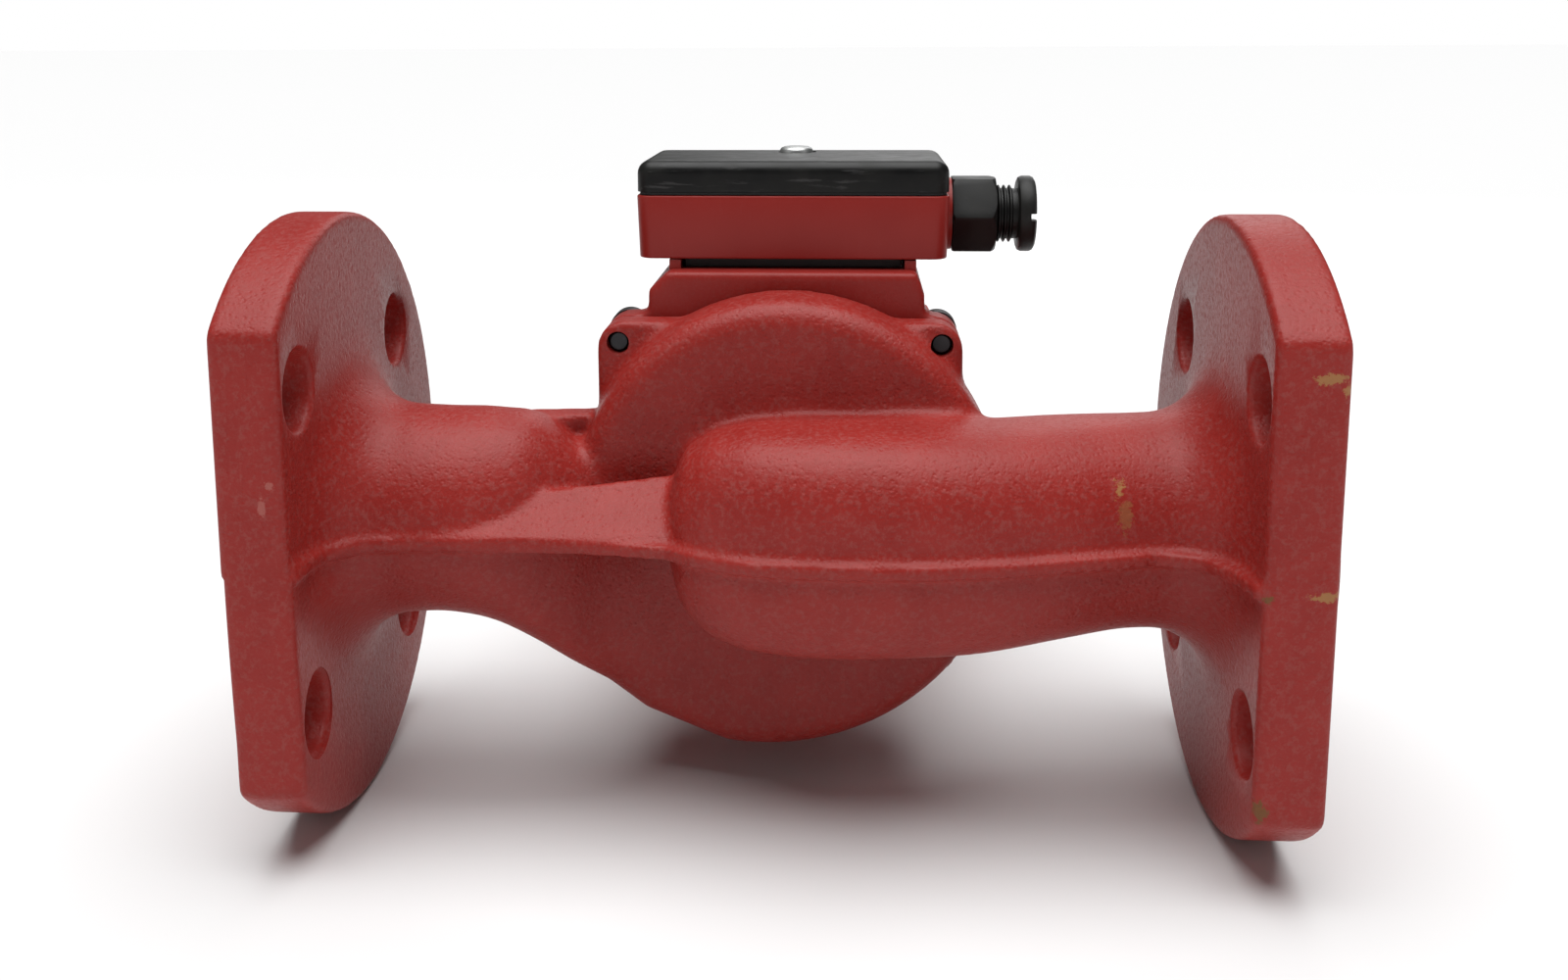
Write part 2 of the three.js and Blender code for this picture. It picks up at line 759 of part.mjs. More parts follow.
function coverScrew() {
  const head = coverTop - 0.4;
  const [x, y] = coverScrewAt;
  const body = turnedZ([
    [0, coverScrewTip], [2, coverScrewTip], [2, head], [4.6, head], [4.6, head + 1],
    [3.6, head + 2], [0, head + 2],
  ], 20, x, y);
  return body.subtract(box([x - 6, x + 6], [y - 0.6, y + 0.6], [head + 0.9, head + 3]));
}

function panScrew(radius, seatZ, depth, [x, y]) {
  const body = turnedZ([
    [0, seatZ - depth], [radius / 2, seatZ - depth], [radius / 2, seatZ], [radius, seatZ],
    [radius, seatZ + 1.8], [radius - 0.8, seatZ + 2.6], [0, seatZ + 2.6],
  ], 12, x, y);
  return body.subtract(box([x - 6, x + 6], [y - 0.5, y + 0.5], [seatZ + 1.4, seatZ + 3]));
}

function terminalBlock() {
  const body = box(blockX, blockY, [boxZ[0] + boxWall + gap, blockTop]);
  const tools = [];
  for (const y of poleY) {
    tools.push(postAt(2.8, blockTop - 6.5, blockTop + 1, [poleX, y]));
    tools.push(turnedX(rodProfile(1.6, blockX[0] - 2, blockX[1] + 2), 12, 0, y, wireZ));
  }
  return cut(body, tools);
}

function capacitor() {
  const { x: [left, right], y, z, radius } = capacitorAt;
  return turnedX([
    [0, left], [radius - 1, left], [radius, left + 1], [radius, right - 1],
    [radius - 1, right], [0, right],
  ], 20, 0, y, z);
}

function capacitorClip() {
  const { x: [left, right], y, z, radius } = capacitorAt;
  const middle = (left + right) / 2;
  const band = turnedX(ringProfile(radius + gap, radius + 1.1, middle - 3, middle + 3), 20, 0, y, z);
  const floor = boxZ[0] + boxWall;
  const foot = box([middle - 3, middle + 3], [y - 16, y], [floor + gap, floor + 1.3]);
  const rod = turnedX(rodProfile(radius + gap, middle - 4, middle + 4), 20, 0, y, z);
  return band.add(foot.subtract(rod));
}

// A lead from the end of the winding, up through the lead hole and across to its terminal.
function statorLead(index) {
  const startX = (leadHoleX[0] + leadHoleX[1]) / 2;
  const startY = (leadHoleY[0] + leadHoleY[1]) / 2 + 3.2 * (index - 1);
  const endY = poleY[index];
  const path = new THREE.CatmullRomCurve3([
    new THREE.Vector3(startX, startY, slotTopRadius + 2.6),
    new THREE.Vector3(startX, startY, 48),
    new THREE.Vector3(startX, startY, 61),
    new THREE.Vector3(startX + 3, startY, wireZ - 1.5),
    new THREE.Vector3(startX + 9, (startY + endY) / 2, wireZ + 0.5),
    new THREE.Vector3(blockX[0] - 3, endY, wireZ),
    new THREE.Vector3(blockX[0] + 3, endY, wireZ),
  ]);
  const circle = new THREE.Shape().absarc(0, 0, leadRadius, 0, full, false);
  return solid(new THREE.ExtrudeGeometry(circle, { extrudePath: path, steps: 14, curveSegments: 4 }));
}

// ---- Cable gland ----

const glandFace = glandSeatX + glandHexLength;

function glandBody() {
  const corner = glandHex / 2 + 1.2;
  const hex = alongX(extruded(hexagon(glandHex), glandHexLength, 0), glandSeatX);
  const chamfer = turnedX([
    [0, glandSeatX], [corner, glandSeatX], [corner, glandFace - 1], [corner - 1, glandFace],
    [0, glandFace],
  ], 16, 0, glandY, glandZ);
  const head = hex.translate([0, glandY, glandZ]).intersect(chamfer);
  return cut(union([head, glandRod(8, glandSeatX - 9, glandSeatX + 1)]), [
    glandRod(glandBore, glandSeatX - 10, glandSeatX + 4),
    glandRod(glandThread + gap, glandSeatX + 1.5, glandFace + 1),
  ]);
}

function glandScrew() {
  const inner = glandFace - glandEngagement;
  const head = glandFace + glandNeckLength;
  const end = head + glandHeadLength;
  const body = turnedX([
    [glandBore, inner], [glandThread, inner], [glandThread, head], [glandHeadRadius - 1, head],
    [glandHeadRadius, head + 1], [glandHeadRadius, end - 1], [glandHeadRadius - 1, end],
    [glandBore + 1, end], [glandBore, end - 1], [glandBore, inner],
  ], 16, 0, glandY, glandZ);
  const notch = box([end - 1.6, end + 1], [glandY - 12, glandY + 12], [glandZ - 0.9, glandZ + 0.9]);
  return body.subtract(notch);
}

function glandRing(inner, outer, from, to) {
  return turnedX(ringProfile(inner, outer, from, to), 16, 0, glandY, glandZ);
}

// ---- Assembly ----

addPiece('pump_housing', pumpHousing(), redPaint());
const neckRingProfile = ringProfile(neckRing.inner, eyeRadius - gap, ...neckRing.y);
addPiece('neck_ring', turnedY(neckRingProfile, 24), steel());
const housingSeal = ringProfile(motorOpeningRadius, sealSeatRadius - gap, sealSeatY + gap, jointY);
addPiece('housing_seal', turnedY(housingSeal, 24), rubber());

const rotor = new THREE.Group();
pump.add(rotor);
addPiece('impeller_front_shroud', impellerFrontShroud(), steel(), rotor);
addPiece('impeller', impeller(), steel(), rotor);
addPiece('impeller_nut', impellerNut(), steel(), rotor);
addPiece('shaft', shaft(), steel(), rotor);
addPiece('thrust_bearing', onShaft(thrustBearing.radius, ...thrustBearing.y), carbon(), rotor);
const retainerBody = onShaft(thrustRetainer.radius, ...thrustRetainer.y);
addPiece('thrust_bearing_retainer', retainerBody, steel(), rotor);
addPiece('rotor_core', onShaft(rotorRadius - gap, ...rotorY, 24), darkSteel(), rotor);
addPiece('rotor_sleeve', rotorSleeve(), steel(), rotor);

addPiece('bearing_plate', bearingPlate(), steel());
addPiece('front_bearing', onShaft(bearingOuter, ...frontBearingY), ceramic());
addPiece('rotor_can', rotorCan(), steel());
addPiece('can_seal', turnedY(ringProfile(canSeal.inner, canSeal.outer, ...canSeal.y), 24), rubber());
addPiece('rear_bearing', onShaft(bearingOuter, ...rearBearingY), ceramic());
addPiece('rear_bearing_seat', rearBearingSeat(), steel());
addPiece('stator_core', statorCore(), darkSteel());
addPiece('stator_winding', statorWinding(), copper());
addPiece('motor_housing', motorHousing(), redPaint());
const nameplateProfile = ringProfile(...nameplateRadii, motorY[1] + gap, motorY[1] + 0.9);
addPiece('nameplate', turnedY(nameplateProfile, 24), steel());
boltPlaces(boltPitch).forEach(([x, z], i) => {
  addPiece(`motor_bolt_${i + 1}`, socketScrew(x, z), darkSteel());
});
addPiece('vent_screw', ventScrew(), brass());
const ventSealY = [motorY[1] + gap, motorY[1] + ventSealHeight];
const ventSealProfile = ringProfile(ventThread + gap, ventHeadRadius + 0.2, ...ventSealY);
addPiece('vent_seal', turnedY(ventSealProfile, 20), rubber());

addPiece('terminal_box_base', terminalBoxBase(), redPaint());
addPiece('box_gasket', boxGasket(), rubber());
baseScrewX.forEach((x, i) => {
  addPiece(`box_screw_${i + 1}`, panScrew(4, boxZ[0] + boxWall + gap, 14, [x, baseScrewY]), steel());
});
addPiece('cover_seal', coverSeal(), rubber());
addPiece('terminal_box_cover', terminalBoxCover(), blackPlastic());
addPiece('cover_screw', coverScrew(), steel());
addPiece('cover_screw_washer', postAt(4.6, coverTop - 1.3, coverTop - 0.7, coverScrewAt, 16)
  .subtract(postAt(2.3, 80, 90, coverScrewAt, 16)), rubber());
addPiece('terminal_block', terminalBlock(), blackPlastic());
poleY.forEach((y, i) => {
  addPiece(`terminal_screw_${i + 1}`, panScrew(2.5, blockTop - 2.8, 2, [poleX, y]), brass());
  addPiece(`stator_lead_${i + 1}`, statorLead(i), material([0x3b2a22, 0x2f4f9a, 0x6d6d6d][i], 0.6, 0));
});
addPiece('capacitor', capacitor(), material(0xd8d8d4, 0.5, 0.1));
addPiece('capacitor_clip', capacitorClip(), steel());
addPiece('earth_screw', panScrew(3.4, boxZ[0] + boxWall + gap, 2, earthScrewAt), brass());
addPiece('gland_body', glandBody(), blackPlastic());
const sealFrom = glandSeatX + 1.5 + gap;
addPiece('gland_seal', glandRing(glandBore, glandThread, sealFrom, sealFrom + glandSealLength), rubber());
const washerTo = glandFace - glandEngagement - gap;
const washerFrom = washerTo - glandWasherThickness;
addPiece('gland_washer', glandRing(glandBore, glandThread, washerFrom, washerTo), steel());
addPiece('gland_screw', glandScrew(), blackPlastic());

export default pump;
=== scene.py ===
import json
import math

import bpy
import bmesh
import numpy as np
from mathutils import Matrix, Vector


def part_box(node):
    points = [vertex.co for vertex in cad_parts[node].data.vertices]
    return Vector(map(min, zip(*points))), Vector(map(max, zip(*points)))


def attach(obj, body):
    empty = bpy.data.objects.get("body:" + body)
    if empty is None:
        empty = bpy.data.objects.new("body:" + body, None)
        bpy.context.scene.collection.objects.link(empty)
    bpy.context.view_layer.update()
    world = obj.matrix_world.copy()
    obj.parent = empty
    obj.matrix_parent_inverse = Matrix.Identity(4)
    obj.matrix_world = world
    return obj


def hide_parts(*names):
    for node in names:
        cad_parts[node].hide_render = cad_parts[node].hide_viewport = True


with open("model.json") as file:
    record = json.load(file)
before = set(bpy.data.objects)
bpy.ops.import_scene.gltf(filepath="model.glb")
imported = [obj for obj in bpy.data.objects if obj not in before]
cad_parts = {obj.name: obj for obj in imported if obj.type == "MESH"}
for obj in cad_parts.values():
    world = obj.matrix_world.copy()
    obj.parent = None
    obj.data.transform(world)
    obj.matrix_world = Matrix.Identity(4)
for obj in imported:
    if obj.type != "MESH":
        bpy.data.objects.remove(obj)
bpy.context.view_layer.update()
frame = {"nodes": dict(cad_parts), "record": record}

mm = 0.001
samePlace = 0.01 * mm                             # points closer than this are one
housingLow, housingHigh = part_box("pump_housing")
centreX = (housingLow.x + housingHigh.x) / 2      # the motor axis crosses the pipe line here
halfLength = (housingHigh.x - housingLow.x) / 2 / mm

bodyOf = {}
for bodyName, members in frame["record"]["behaviour"]["bodies"].items():
    for member in members:
        bodyOf[member] = bodyName
slotOf = {part["node"]: part["material_slot"] for part in frame["record"]["subparts"]}


# Places are written in millimetres from the motor axis, and made metres here.
def at(x, y, z):
    return Vector((centreX + x * mm, y * mm, z * mm))


def nodeBox(node):
    low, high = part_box(node)
    shift = Vector((centreX, 0, 0))
    return (low - shift) / mm, (high - shift) / mm


# Camera and light
print("camera and light")
camera = {"lens": 36.35, "shift": (0.0274, -0.115), "yaw": 3.936, "pitch": 9.75, "roll": -0.26,
          "place": (17.5, -382.7, 117.4)}
studio = {"sky": 0.12, "floor": 0.72, "overhead": 4.1, "spread": 62, "lean": 4,
          "lamps": [("leftPanel", (-1.1, -0.7, 0.5), 0.9, 1.0), ("rightPanel", (1.2, -0.6, 0.4), 0.8, 0.7),
                    ("backPanel", (0.2, 1.2, 0.7), 0.9, 3)]}


def addCamera():
    yaw, pitch, roll = (math.radians(camera[key]) for key in ("yaw", "pitch", "roll"))
    bpy.ops.object.camera_add()
    eye = bpy.context.object
    eye.name = "camera"
    eye.data.lens = camera["lens"]
    eye.data.sensor_width = 36
    eye.data.shift_x, eye.data.shift_y = camera["shift"]
    eye.data.clip_start = 0.01
    eye.data.dof.use_dof = False
    forward = Vector((-math.sin(yaw) * math.cos(pitch), math.cos(yaw) * math.cos(pitch), -math.sin(pitch)))
    right = Vector((math.cos(yaw), math.sin(yaw), 0))
    up = right.cross(forward)
    side = right * math.cos(roll) + up * math.sin(roll)
    top = up * math.cos(roll) - right * math.sin(roll)
    matrix = Matrix((side, top, -forward)).transposed().to_4x4()
    matrix.translation = at(*camera["place"])
    eye.matrix_world = matrix
    bpy.context.scene.camera = eye


def addAreaLight(name, place, target, size, power):
    bpy.ops.object.light_add(type="AREA", location=place)
    lamp = bpy.context.object
    lamp.name = name
    lamp.data.shape = "DISK"
    lamp.data.size = size
    lamp.data.energy = power
    lamp.rotation_euler = (Vector(target) - Vector(place)).to_track_quat("-Z", "Y").to_euler()


# A wide soft source overhead, weak panels at the sides, and white all round.
def addStudio():
    middle = at(0, 30, 0)
    lean = math.radians(studio["lean"])
    bpy.ops.object.light_add(type="SUN", location=middle + Vector((0, 0, 1)), rotation=(lean, 0, 0))
    overhead = bpy.context.object
    overhead.name = "overhead"
    overhead.data.energy = studio["overhead"]
    overhead.data.angle = math.radians(studio["spread"])
    for name, offset, size, power in studio["lamps"]:
        addAreaLight(name, middle + Vector(offset), middle, size, power)
    bpy.ops.mesh.primitive_plane_add(size=60, location=(middle.x, middle.y, housingLow.z - 0.0002))
    floor = bpy.context.object
    floor.name = "floor"
    white = bpy.data.materials.new("paleFloor")
    white.use_nodes = True
    shader = white.node_tree.nodes["Principled BSDF"]
    shader.inputs["Base Color"].default_value = (studio["floor"], studio["floor"], studio["floor"], 1)
    shader.inputs["Roughness"].default_value = 0.9
    floor.data.materials.append(white)
    world = bpy.data.worlds.new("studio")
    world.use_nodes = True
    tree = world.node_tree
    tree.nodes["Background"].inputs["Color"].default_value = (1, 1, 1, 1)
    seen = tree.nodes.new("ShaderNodeLightPath").outputs["Is Camera Ray"]
    strength = tree.nodes.new("ShaderNodeMapRange")
    strength.inputs["To Min"].default_value = studio["sky"]
    tree.links.new(seen, strength.inputs["Value"])
    tree.links.new(strength.outputs["Result"], tree.nodes["Background"].inputs["Strength"])
    bpy.context.scene.world = world
    bpy.context.scene.view_settings.view_transform = "Standard"


addCamera()
addStudio()


# Modelling in code
def nothingSelected():
    if bpy.context.object and bpy.context.object.mode != "OBJECT":
        bpy.ops.object.mode_set(mode="OBJECT")
    bpy.ops.object.select_all(action="DESELECT")


def onlySelected(piece):
    nothingSelected()
    piece.select_set(True)
    bpy.context.view_layer.objects.active = piece


def editMode(piece, pick="VERT"):
    onlySelected(piece)
    bpy.ops.object.mode_set(mode="EDIT")
    bpy.ops.mesh.select_mode(type=pick)


def objectMode():
    bpy.ops.object.mode_set(mode="OBJECT")


def placeInMesh(piece):
    onlySelected(piece)
    bpy.ops.object.transform_apply(location=True, rotation=True, scale=True)


def faceOutwards(piece):
    editMode(piece)
    bpy.ops.mesh.select_all(action="SELECT")
    bpy.ops.mesh.remove_doubles(threshold=samePlace)
    bpy.ops.mesh.normals_make_consistent(inside=False)
    objectMode()


def applyModifier(piece, kind, **settings):
    onlySelected(piece)
    modifier = piece.modifiers.new(kind.lower(), kind)
    for key, value in settings.items():
        setattr(modifier, key, value)
    bpy.ops.object.modifier_apply(modifier=modifier.name)


def bevelEdges(piece, width, segments=3, angle=30):
    applyModifier(piece, "BEVEL", width=width * mm, segments=segments, limit_method="ANGLE",
                  angle_limit=math.radians(angle), use_clamp_overlap=True)


# Rounds the rim of the flat face that lies at one place along an axis.
def bevelRim(piece, axis, place, width, segments):
    editMode(piece, "FACE")
    bpy.ops.mesh.select_all(action="DESELECT")
    edit = bmesh.from_edit_mesh(piece.data)
    for face in edit.faces:
        face.select = all(abs(vertex.co[axis] - place) < samePlace for vertex in face.verts)
    edit.select_flush(True)
    bmesh.update_edit_mesh(piece.data)
    bpy.ops.mesh.region_to_loop()
    bpy.ops.mesh.bevel(offset=width * mm, segments=segments, affect="EDGES")
    objectMode()


def boolean(piece, tools, operation="DIFFERENCE"):
    for tool in tools:
        applyModifier(piece, "BOOLEAN", operation=operation, solver="MANIFOLD", object=tool)
        bpy.data.objects.remove(tool)
    return piece


def block(name, x, y, z):
    middle = at((x[0] + x[1]) / 2, (y[0] + y[1]) / 2, (z[0] + z[1]) / 2)
    nothingSelected()
    bpy.ops.mesh.primitive_cube_add(size=1, location=middle)
    piece = bpy.context.object
    piece.name = name
    piece.scale = ((x[1] - x[0]) * mm, (y[1] - y[0]) * mm, (z[1] - z[0]) * mm)
    placeInMesh(piece)
    return piece


# One vertex, drawn out through the points as an open or closed line.
def drawnLine(name, points):
    nothingSelected()
    bpy.ops.mesh.primitive_plane_add(size=mm, location=points[0])
    piece = bpy.context.object
    piece.name = name
    placeInMesh(piece)
    editMode(piece)
    bpy.ops.mesh.select_all(action="SELECT")
    bpy.ops.mesh.merge(type="CENTER")
    for before, after in zip(points, points[1:]):
        bpy.ops.mesh.extrude_vertices_move(TRANSFORM_OT_translate={"value": after - before})
    return piece


axisVectors = {"X": Vector((1, 0, 0)), "Y": Vector((0, 1, 0)), "Z": Vector((0, 0, 1))}


# A profile of (radius, along) points, spun round an axis through the centre.
def turned(name, profile, axis, centre=(0, 0, 0), steps=96):
    middle = at(*centre)
    along = axisVectors[axis]
    outward = axisVectors["X"] if axis != "X" else axisVectors["Y"]
    points = [middle + outward * (radius * mm) + along * (place * mm) for radius, place in profile]
    piece = drawnLine(name, points)
    bpy.ops.mesh.select_all(action="SELECT")
    bpy.ops.mesh.spin(steps=steps, angle=2 * math.pi, center=middle, axis=along)
    objectMode()
    faceOutwards(piece)
    return piece


def rod(name, axis, radius, start, end, centre=(0, 0, 0), steps=48):
    return turned(name, [(0, start), (radius, start), (radius, end), (0, end)], axis, centre, steps)


def ring(name, axis, inner, outer, start, end, centre=(0, 0, 0), steps=64):
    profile = [(inner, start), (outer, start), (outer, end), (inner, end), (inner, start)]
    return turned(name, profile, axis, centre, steps)


# An outline of points in the plane square to the axis, filled and drawn out along it.
def plate(name, outline, axis, start, end):
    place = {
        "X": lambda a, b: at(start, a, b),
        "Y": lambda a, b: at(a, start, b),
        "Z": lambda a, b: at(a, b, start),
    }[axis]
    points = [place(a, b) for a, b in outline]
    piece = drawnLine(name, points + points[:1])
    bpy.ops.mesh.select_all(action="SELECT")
    bpy.ops.mesh.remove_doubles(threshold=samePlace)
    bpy.ops.mesh.select_all(action="SELECT")
    bpy.ops.mesh.edge_face_add()
    move = axisVectors[axis] * ((end - start) * mm)
    bpy.ops.mesh.extrude_region_move(TRANSFORM_OT_translate={"value": move})
    objectMode()
    faceOutwards(piece)
    return piece


def hexagonOutline(acrossFlats, a, b):
    corner = acrossFlats / math.sqrt(3)
    return [(a + corner * math.cos(math.radians(60 * k)), b + corner * math.sin(math.radians(60 * k)))
            for k in range(6)]


def roundedOutline(a, b, radius, steps=6):
    points = []
    corners = [(a[1] - radius, b[1] - radius, 0), (a[0] + radius, b[1] - radius, 90),
               (a[0] + radius, b[0] + radius, 180), (a[1] - radius, b[0] + radius, 270)]
    for middleA, middleB, first in corners:
        for step in range(steps + 1):
            angle = math.radians(first + 90 * step / steps)
            points.append((middleA + radius * math.cos(angle), middleB + radius * math.sin(angle)))
    return points


def joined(name, pieces):
    nothingSelected()
    for piece in pieces:
        piece.select_set(True)
    bpy.context.view_layer.objects.active = pieces[0]
    bpy.ops.object.join()
    pieces[0].name = name
    return pieces[0]


# One skin over overlapping solids, as a pattern rammed in sand gives.
def castSkin(piece, voxel, smoothing, filletSteps=0):
    applyModifier(piece, "REMESH", mode="VOXEL", voxel_size=voxel * mm, adaptivity=0)
    if filletSteps:
        fillHollows(piece, filletSteps)
    applyModifier(piece, "SMOOTH", factor=0.5, iterations=smoothing)


# Draws each inside corner out along its normal, step by step, which leaves a fillet there.
def fillHollows(piece, steps, rate=0.6, refresh=8):
    mesh = piece.data
    count = len(mesh.vertices)
    points = np.empty(count * 3)
    mesh.vertices.foreach_get("co", points)
    points = points.reshape(-1, 3)
    ends = np.empty(len(mesh.edges) * 2, dtype=np.int64)
    mesh.edges.foreach_get("vertices", ends)
    first, second = ends[0::2], ends[1::2]
    valence = np.bincount(ends, minlength=count)[:, None]
    for step in range(steps):
        if step % refresh == 0:
            mesh.vertices.foreach_set("co", points.ravel())
            mesh.update()
            normals = np.empty(count * 3)
            mesh.vertices.foreach_get("normal", normals)
            normals = normals.reshape(-1, 3)
        total = np.zeros_like(points)
        for axis in range(3):
            total[:, axis] = (np.bincount(first, points[second, axis], count)
                              + np.bincount(second, points[first, axis], count))
        pull = ((total / valence - points) * normals).sum(1)
        points = points + normals * (np.maximum(pull, 0) * rate)[:, None]
    mesh.vertices.foreach_set("co", points.ravel())
    mesh.update()


def thinned(piece, triangles):
    now = sum(len(face.vertices) - 2 for face in piece.data.polygons)
    if now > triangles:
        applyModifier(piece, "DECIMATE", ratio=triangles / now)


def finished(piece, finish, *nodes, angle=35):
    placeInMesh(piece)
    bpy.ops.object.shade_smooth_by_angle(angle=math.radians(angle))
    piece.data.materials.clear()
    piece.data.materials.append(finish)
    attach(piece, bodyOf[nodes[0]])
    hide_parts(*nodes)
    return piece


# Finishes
print("finishes")


# Values are numbers to set on the node's inputs, or outputs of other nodes to join to them.
def addNode(tree, kind, values=None, **settings):
    node = tree.nodes.new("ShaderNode" + kind)
    for key, value in settings.items():
        setattr(node, key, value)
    for key, value in (values or {}).items():
        if isinstance(value, bpy.types.NodeSocket):
            tree.links.new(value, node.inputs[key])
        else:
            node.inputs[key].default_value = value
    return node


def newGroup(name, inputs, outputs):
    tree = bpy.data.node_groups.new(name, "ShaderNodeTree")
    for label, value in inputs.items():
        kind = "NodeSocketVector" if isinstance(value, tuple) else "NodeSocketFloat"
        socket = tree.interface.new_socket(label, in_out="INPUT", socket_type=kind)
        socket.default_value = value
    for label in outputs:
        tree.interface.new_socket(label, in_out="OUTPUT", socket_type="NodeSocketFloat")
    return tree, tree.nodes.new("NodeGroupInput").outputs, tree.nodes.new("NodeGroupOutput").inputs


def ramp(tree, value, low, high):
    return addNode(tree, "MapRange", {"Value": value, "From Min": low, "From Max": high},
                   interpolation_type="SMOOTHSTEP").outputs["Result"]


def noise(tree, where, scale, detail=3.0, roughness=0.55):
    values = {"Vector": where, "Scale": scale, "Detail": detail, "Roughness": roughness}
    return addNode(tree, "TexNoise", values).outputs["Fac"]


def math2(tree, operation, a, b):
    return addNode(tree, "Math", {0: a, 1: b}, operation=operation).outputs[0]


def vectorMath(tree, operation, a, b):
    return addNode(tree, "VectorMath", {0: a, 1: b}, operation=operation).outputs[0]


# The skin that sand leaves: lumps, grains between them, and fine pits.
def grainGroup():
    tree, given, out = newGroup("surfaceGrain", {"Where": (0, 0, 0), "Lumps": 90.0, "Grains": 900.0},
                                ["Height", "Speckle", "Tone"])
    lumps = noise(tree, given["Where"], given["Lumps"], 2.0)
    grains = noise(tree, given["Where"], given["Grains"], 4.0, 0.7)
    cells = addNode(tree, "TexVoronoi", {"Vector": given["Where"], "Scale": given["Grains"]})
    pits = ramp(tree, cells.outputs["Distance"], 0.0, 0.45)
    rough = math2(tree, "MULTIPLY_ADD", grains, 0.6)
    tree.links.new(math2(tree, "MULTIPLY", lumps, 0.5), rough.node.inputs[2])
    tree.links.new(math2(tree, "ADD", rough, math2(tree, "MULTIPLY", pits, 0.25)), out["Height"])
    tree.links.new(ramp(tree, grains, 0.45, 0.68), out["Speckle"])
    tree.links.new(lumps, out["Tone"])
    return tree


# A ragged patch round one place, drawn out where the stretch is under 1.
def patchGroup():
    inputs = {"Where": (0, 0, 0), "Centre": (0, 0, 0), "Stretch": (1, 1, 1), "Radius": 0.006, "Ragged": 2.6}
    tree, given, out = newGroup("wornPatch", inputs, ["Mask"])
    away = vectorMath(tree, "SUBTRACT", given["Where"], given["Centre"])
    away = vectorMath(tree, "MULTIPLY", away, given["Stretch"])
    far = addNode(tree, "VectorMath", {0: away}, operation="LENGTH").outputs["Value"]
    near = math2(tree, "SUBTRACT", 1.0, math2(tree, "DIVIDE", far, given["Radius"]))
    torn = math2(tree, "SUBTRACT", noise(tree, given["Where"], 520.0, 7.0, 0.8), 0.5)
    ragged = math2(tree, "MULTIPLY_ADD", torn, given["Ragged"])
    tree.links.new(near, ragged.node.inputs[2])
    tree.links.new(ramp(tree, ragged, 0.34, 0.52), out["Mask"])
    return tree


# Fine scratches, drawn out along one direction by the stretch of the coordinates.
def scratchGroup():
    inputs = {"Where": (0, 0, 0), "Stretch": (1, 14, 14), "Scale": 60.0}
    tree, given, out = newGroup("fineScratches", inputs, ["Mask"])
    drawn = vectorMath(tree, "MULTIPLY", given["Where"], given["Stretch"])
    lines = noise(tree, drawn, given["Scale"], 5.0, 0.6)
    tree.links.new(ramp(tree, lines, 0.6, 0.7), out["Mask"])
    return tree


groups = {"grain": grainGroup(), "patch": patchGroup(), "scratch": scratchGroup()}


def useGroup(tree, name, values):
    return addNode(tree, "Group", values, node_tree=groups[name]).outputs


def mixColour(tree, amount, below, above):
    node = addNode(tree, "Mix", data_type="RGBA")
    for socket, value in ((node.inputs["Factor"], amount), (node.inputs[6], below), (node.inputs[7], above)):
        if isinstance(value, bpy.types.NodeSocket):
            tree.links.new(value, socket)
        elif isinstance(value, tuple):
            socket.default_value = (*value, 1)
        else:
            socket.default_value = value
    return node.outputs[2]


def startFinish(name, uniform):
    material = bpy.data.materials.new(name)
    material.use_nodes = True
    tree = material.node_tree
    shader = tree.nodes["Principled BSDF"]
    for key, value in uniform.items():
        shader.inputs[key].default_value = value
    where = addNode(tree, "TexCoord").outputs["Object"]
    return material, tree, shader, where


def setBump(tree, shader, height, strength, depth):
    bump = addNode(tree, "Bump", {"Height": height, "Strength": strength, "Distance": depth})
    tree.links.new(bump.outputs["Normal"], shader.inputs["Normal"])


# Red paint over metal. patches are worn places: (x, y, z from the motor axis, radius, stretch, shade).
def redPaint(name, look):
    material, tree, shader, where = startFinish(name, {"Coat Roughness": 0.4, "Coat Weight": look["coat"],
                                                       "Specular IOR Level": look["specular"]})
    grain = useGroup(tree, "grain", {"Where": where, "Lumps": look["lumps"], "Grains": look["grains"]})
    colour = mixColour(tree, ramp(tree, grain["Tone"], 0.2, 0.8), look["dark"], look["light"])
    colour = mixColour(tree, math2(tree, "MULTIPLY", grain["Speckle"], look["speckle"]), colour, look["dust"])
    scratch = useGroup(tree, "scratch", {"Where": where, "Stretch": (14, 14, 1)})["Mask"]
    colour = mixColour(tree, math2(tree, "MULTIPLY", scratch, look["scratch"]), colour, look["rubbed"])
    for x, y, z, radius, stretch, shade in look["patches"]:
        values = {"Where": where, "Centre": tuple(at(x, y, z)), "Stretch": stretch, "Radius": radius * mm}
        colour = mixColour(tree, useGroup(tree, "patch", values)["Mask"], colour, shade)
    tree.links.new(colour, shader.inputs["Base Color"])
    gloss = addNode(tree, "MapRange", {"Value": grain["Speckle"], "To Min": look["gloss"][0],
                                       "To Max": look["gloss"][1]})
    tree.links.new(gloss.outputs["Result"], shader.inputs["Roughness"])
    setBump(tree, shader, grain["Height"], look["relief"], look["depth"] * mm)
    return material


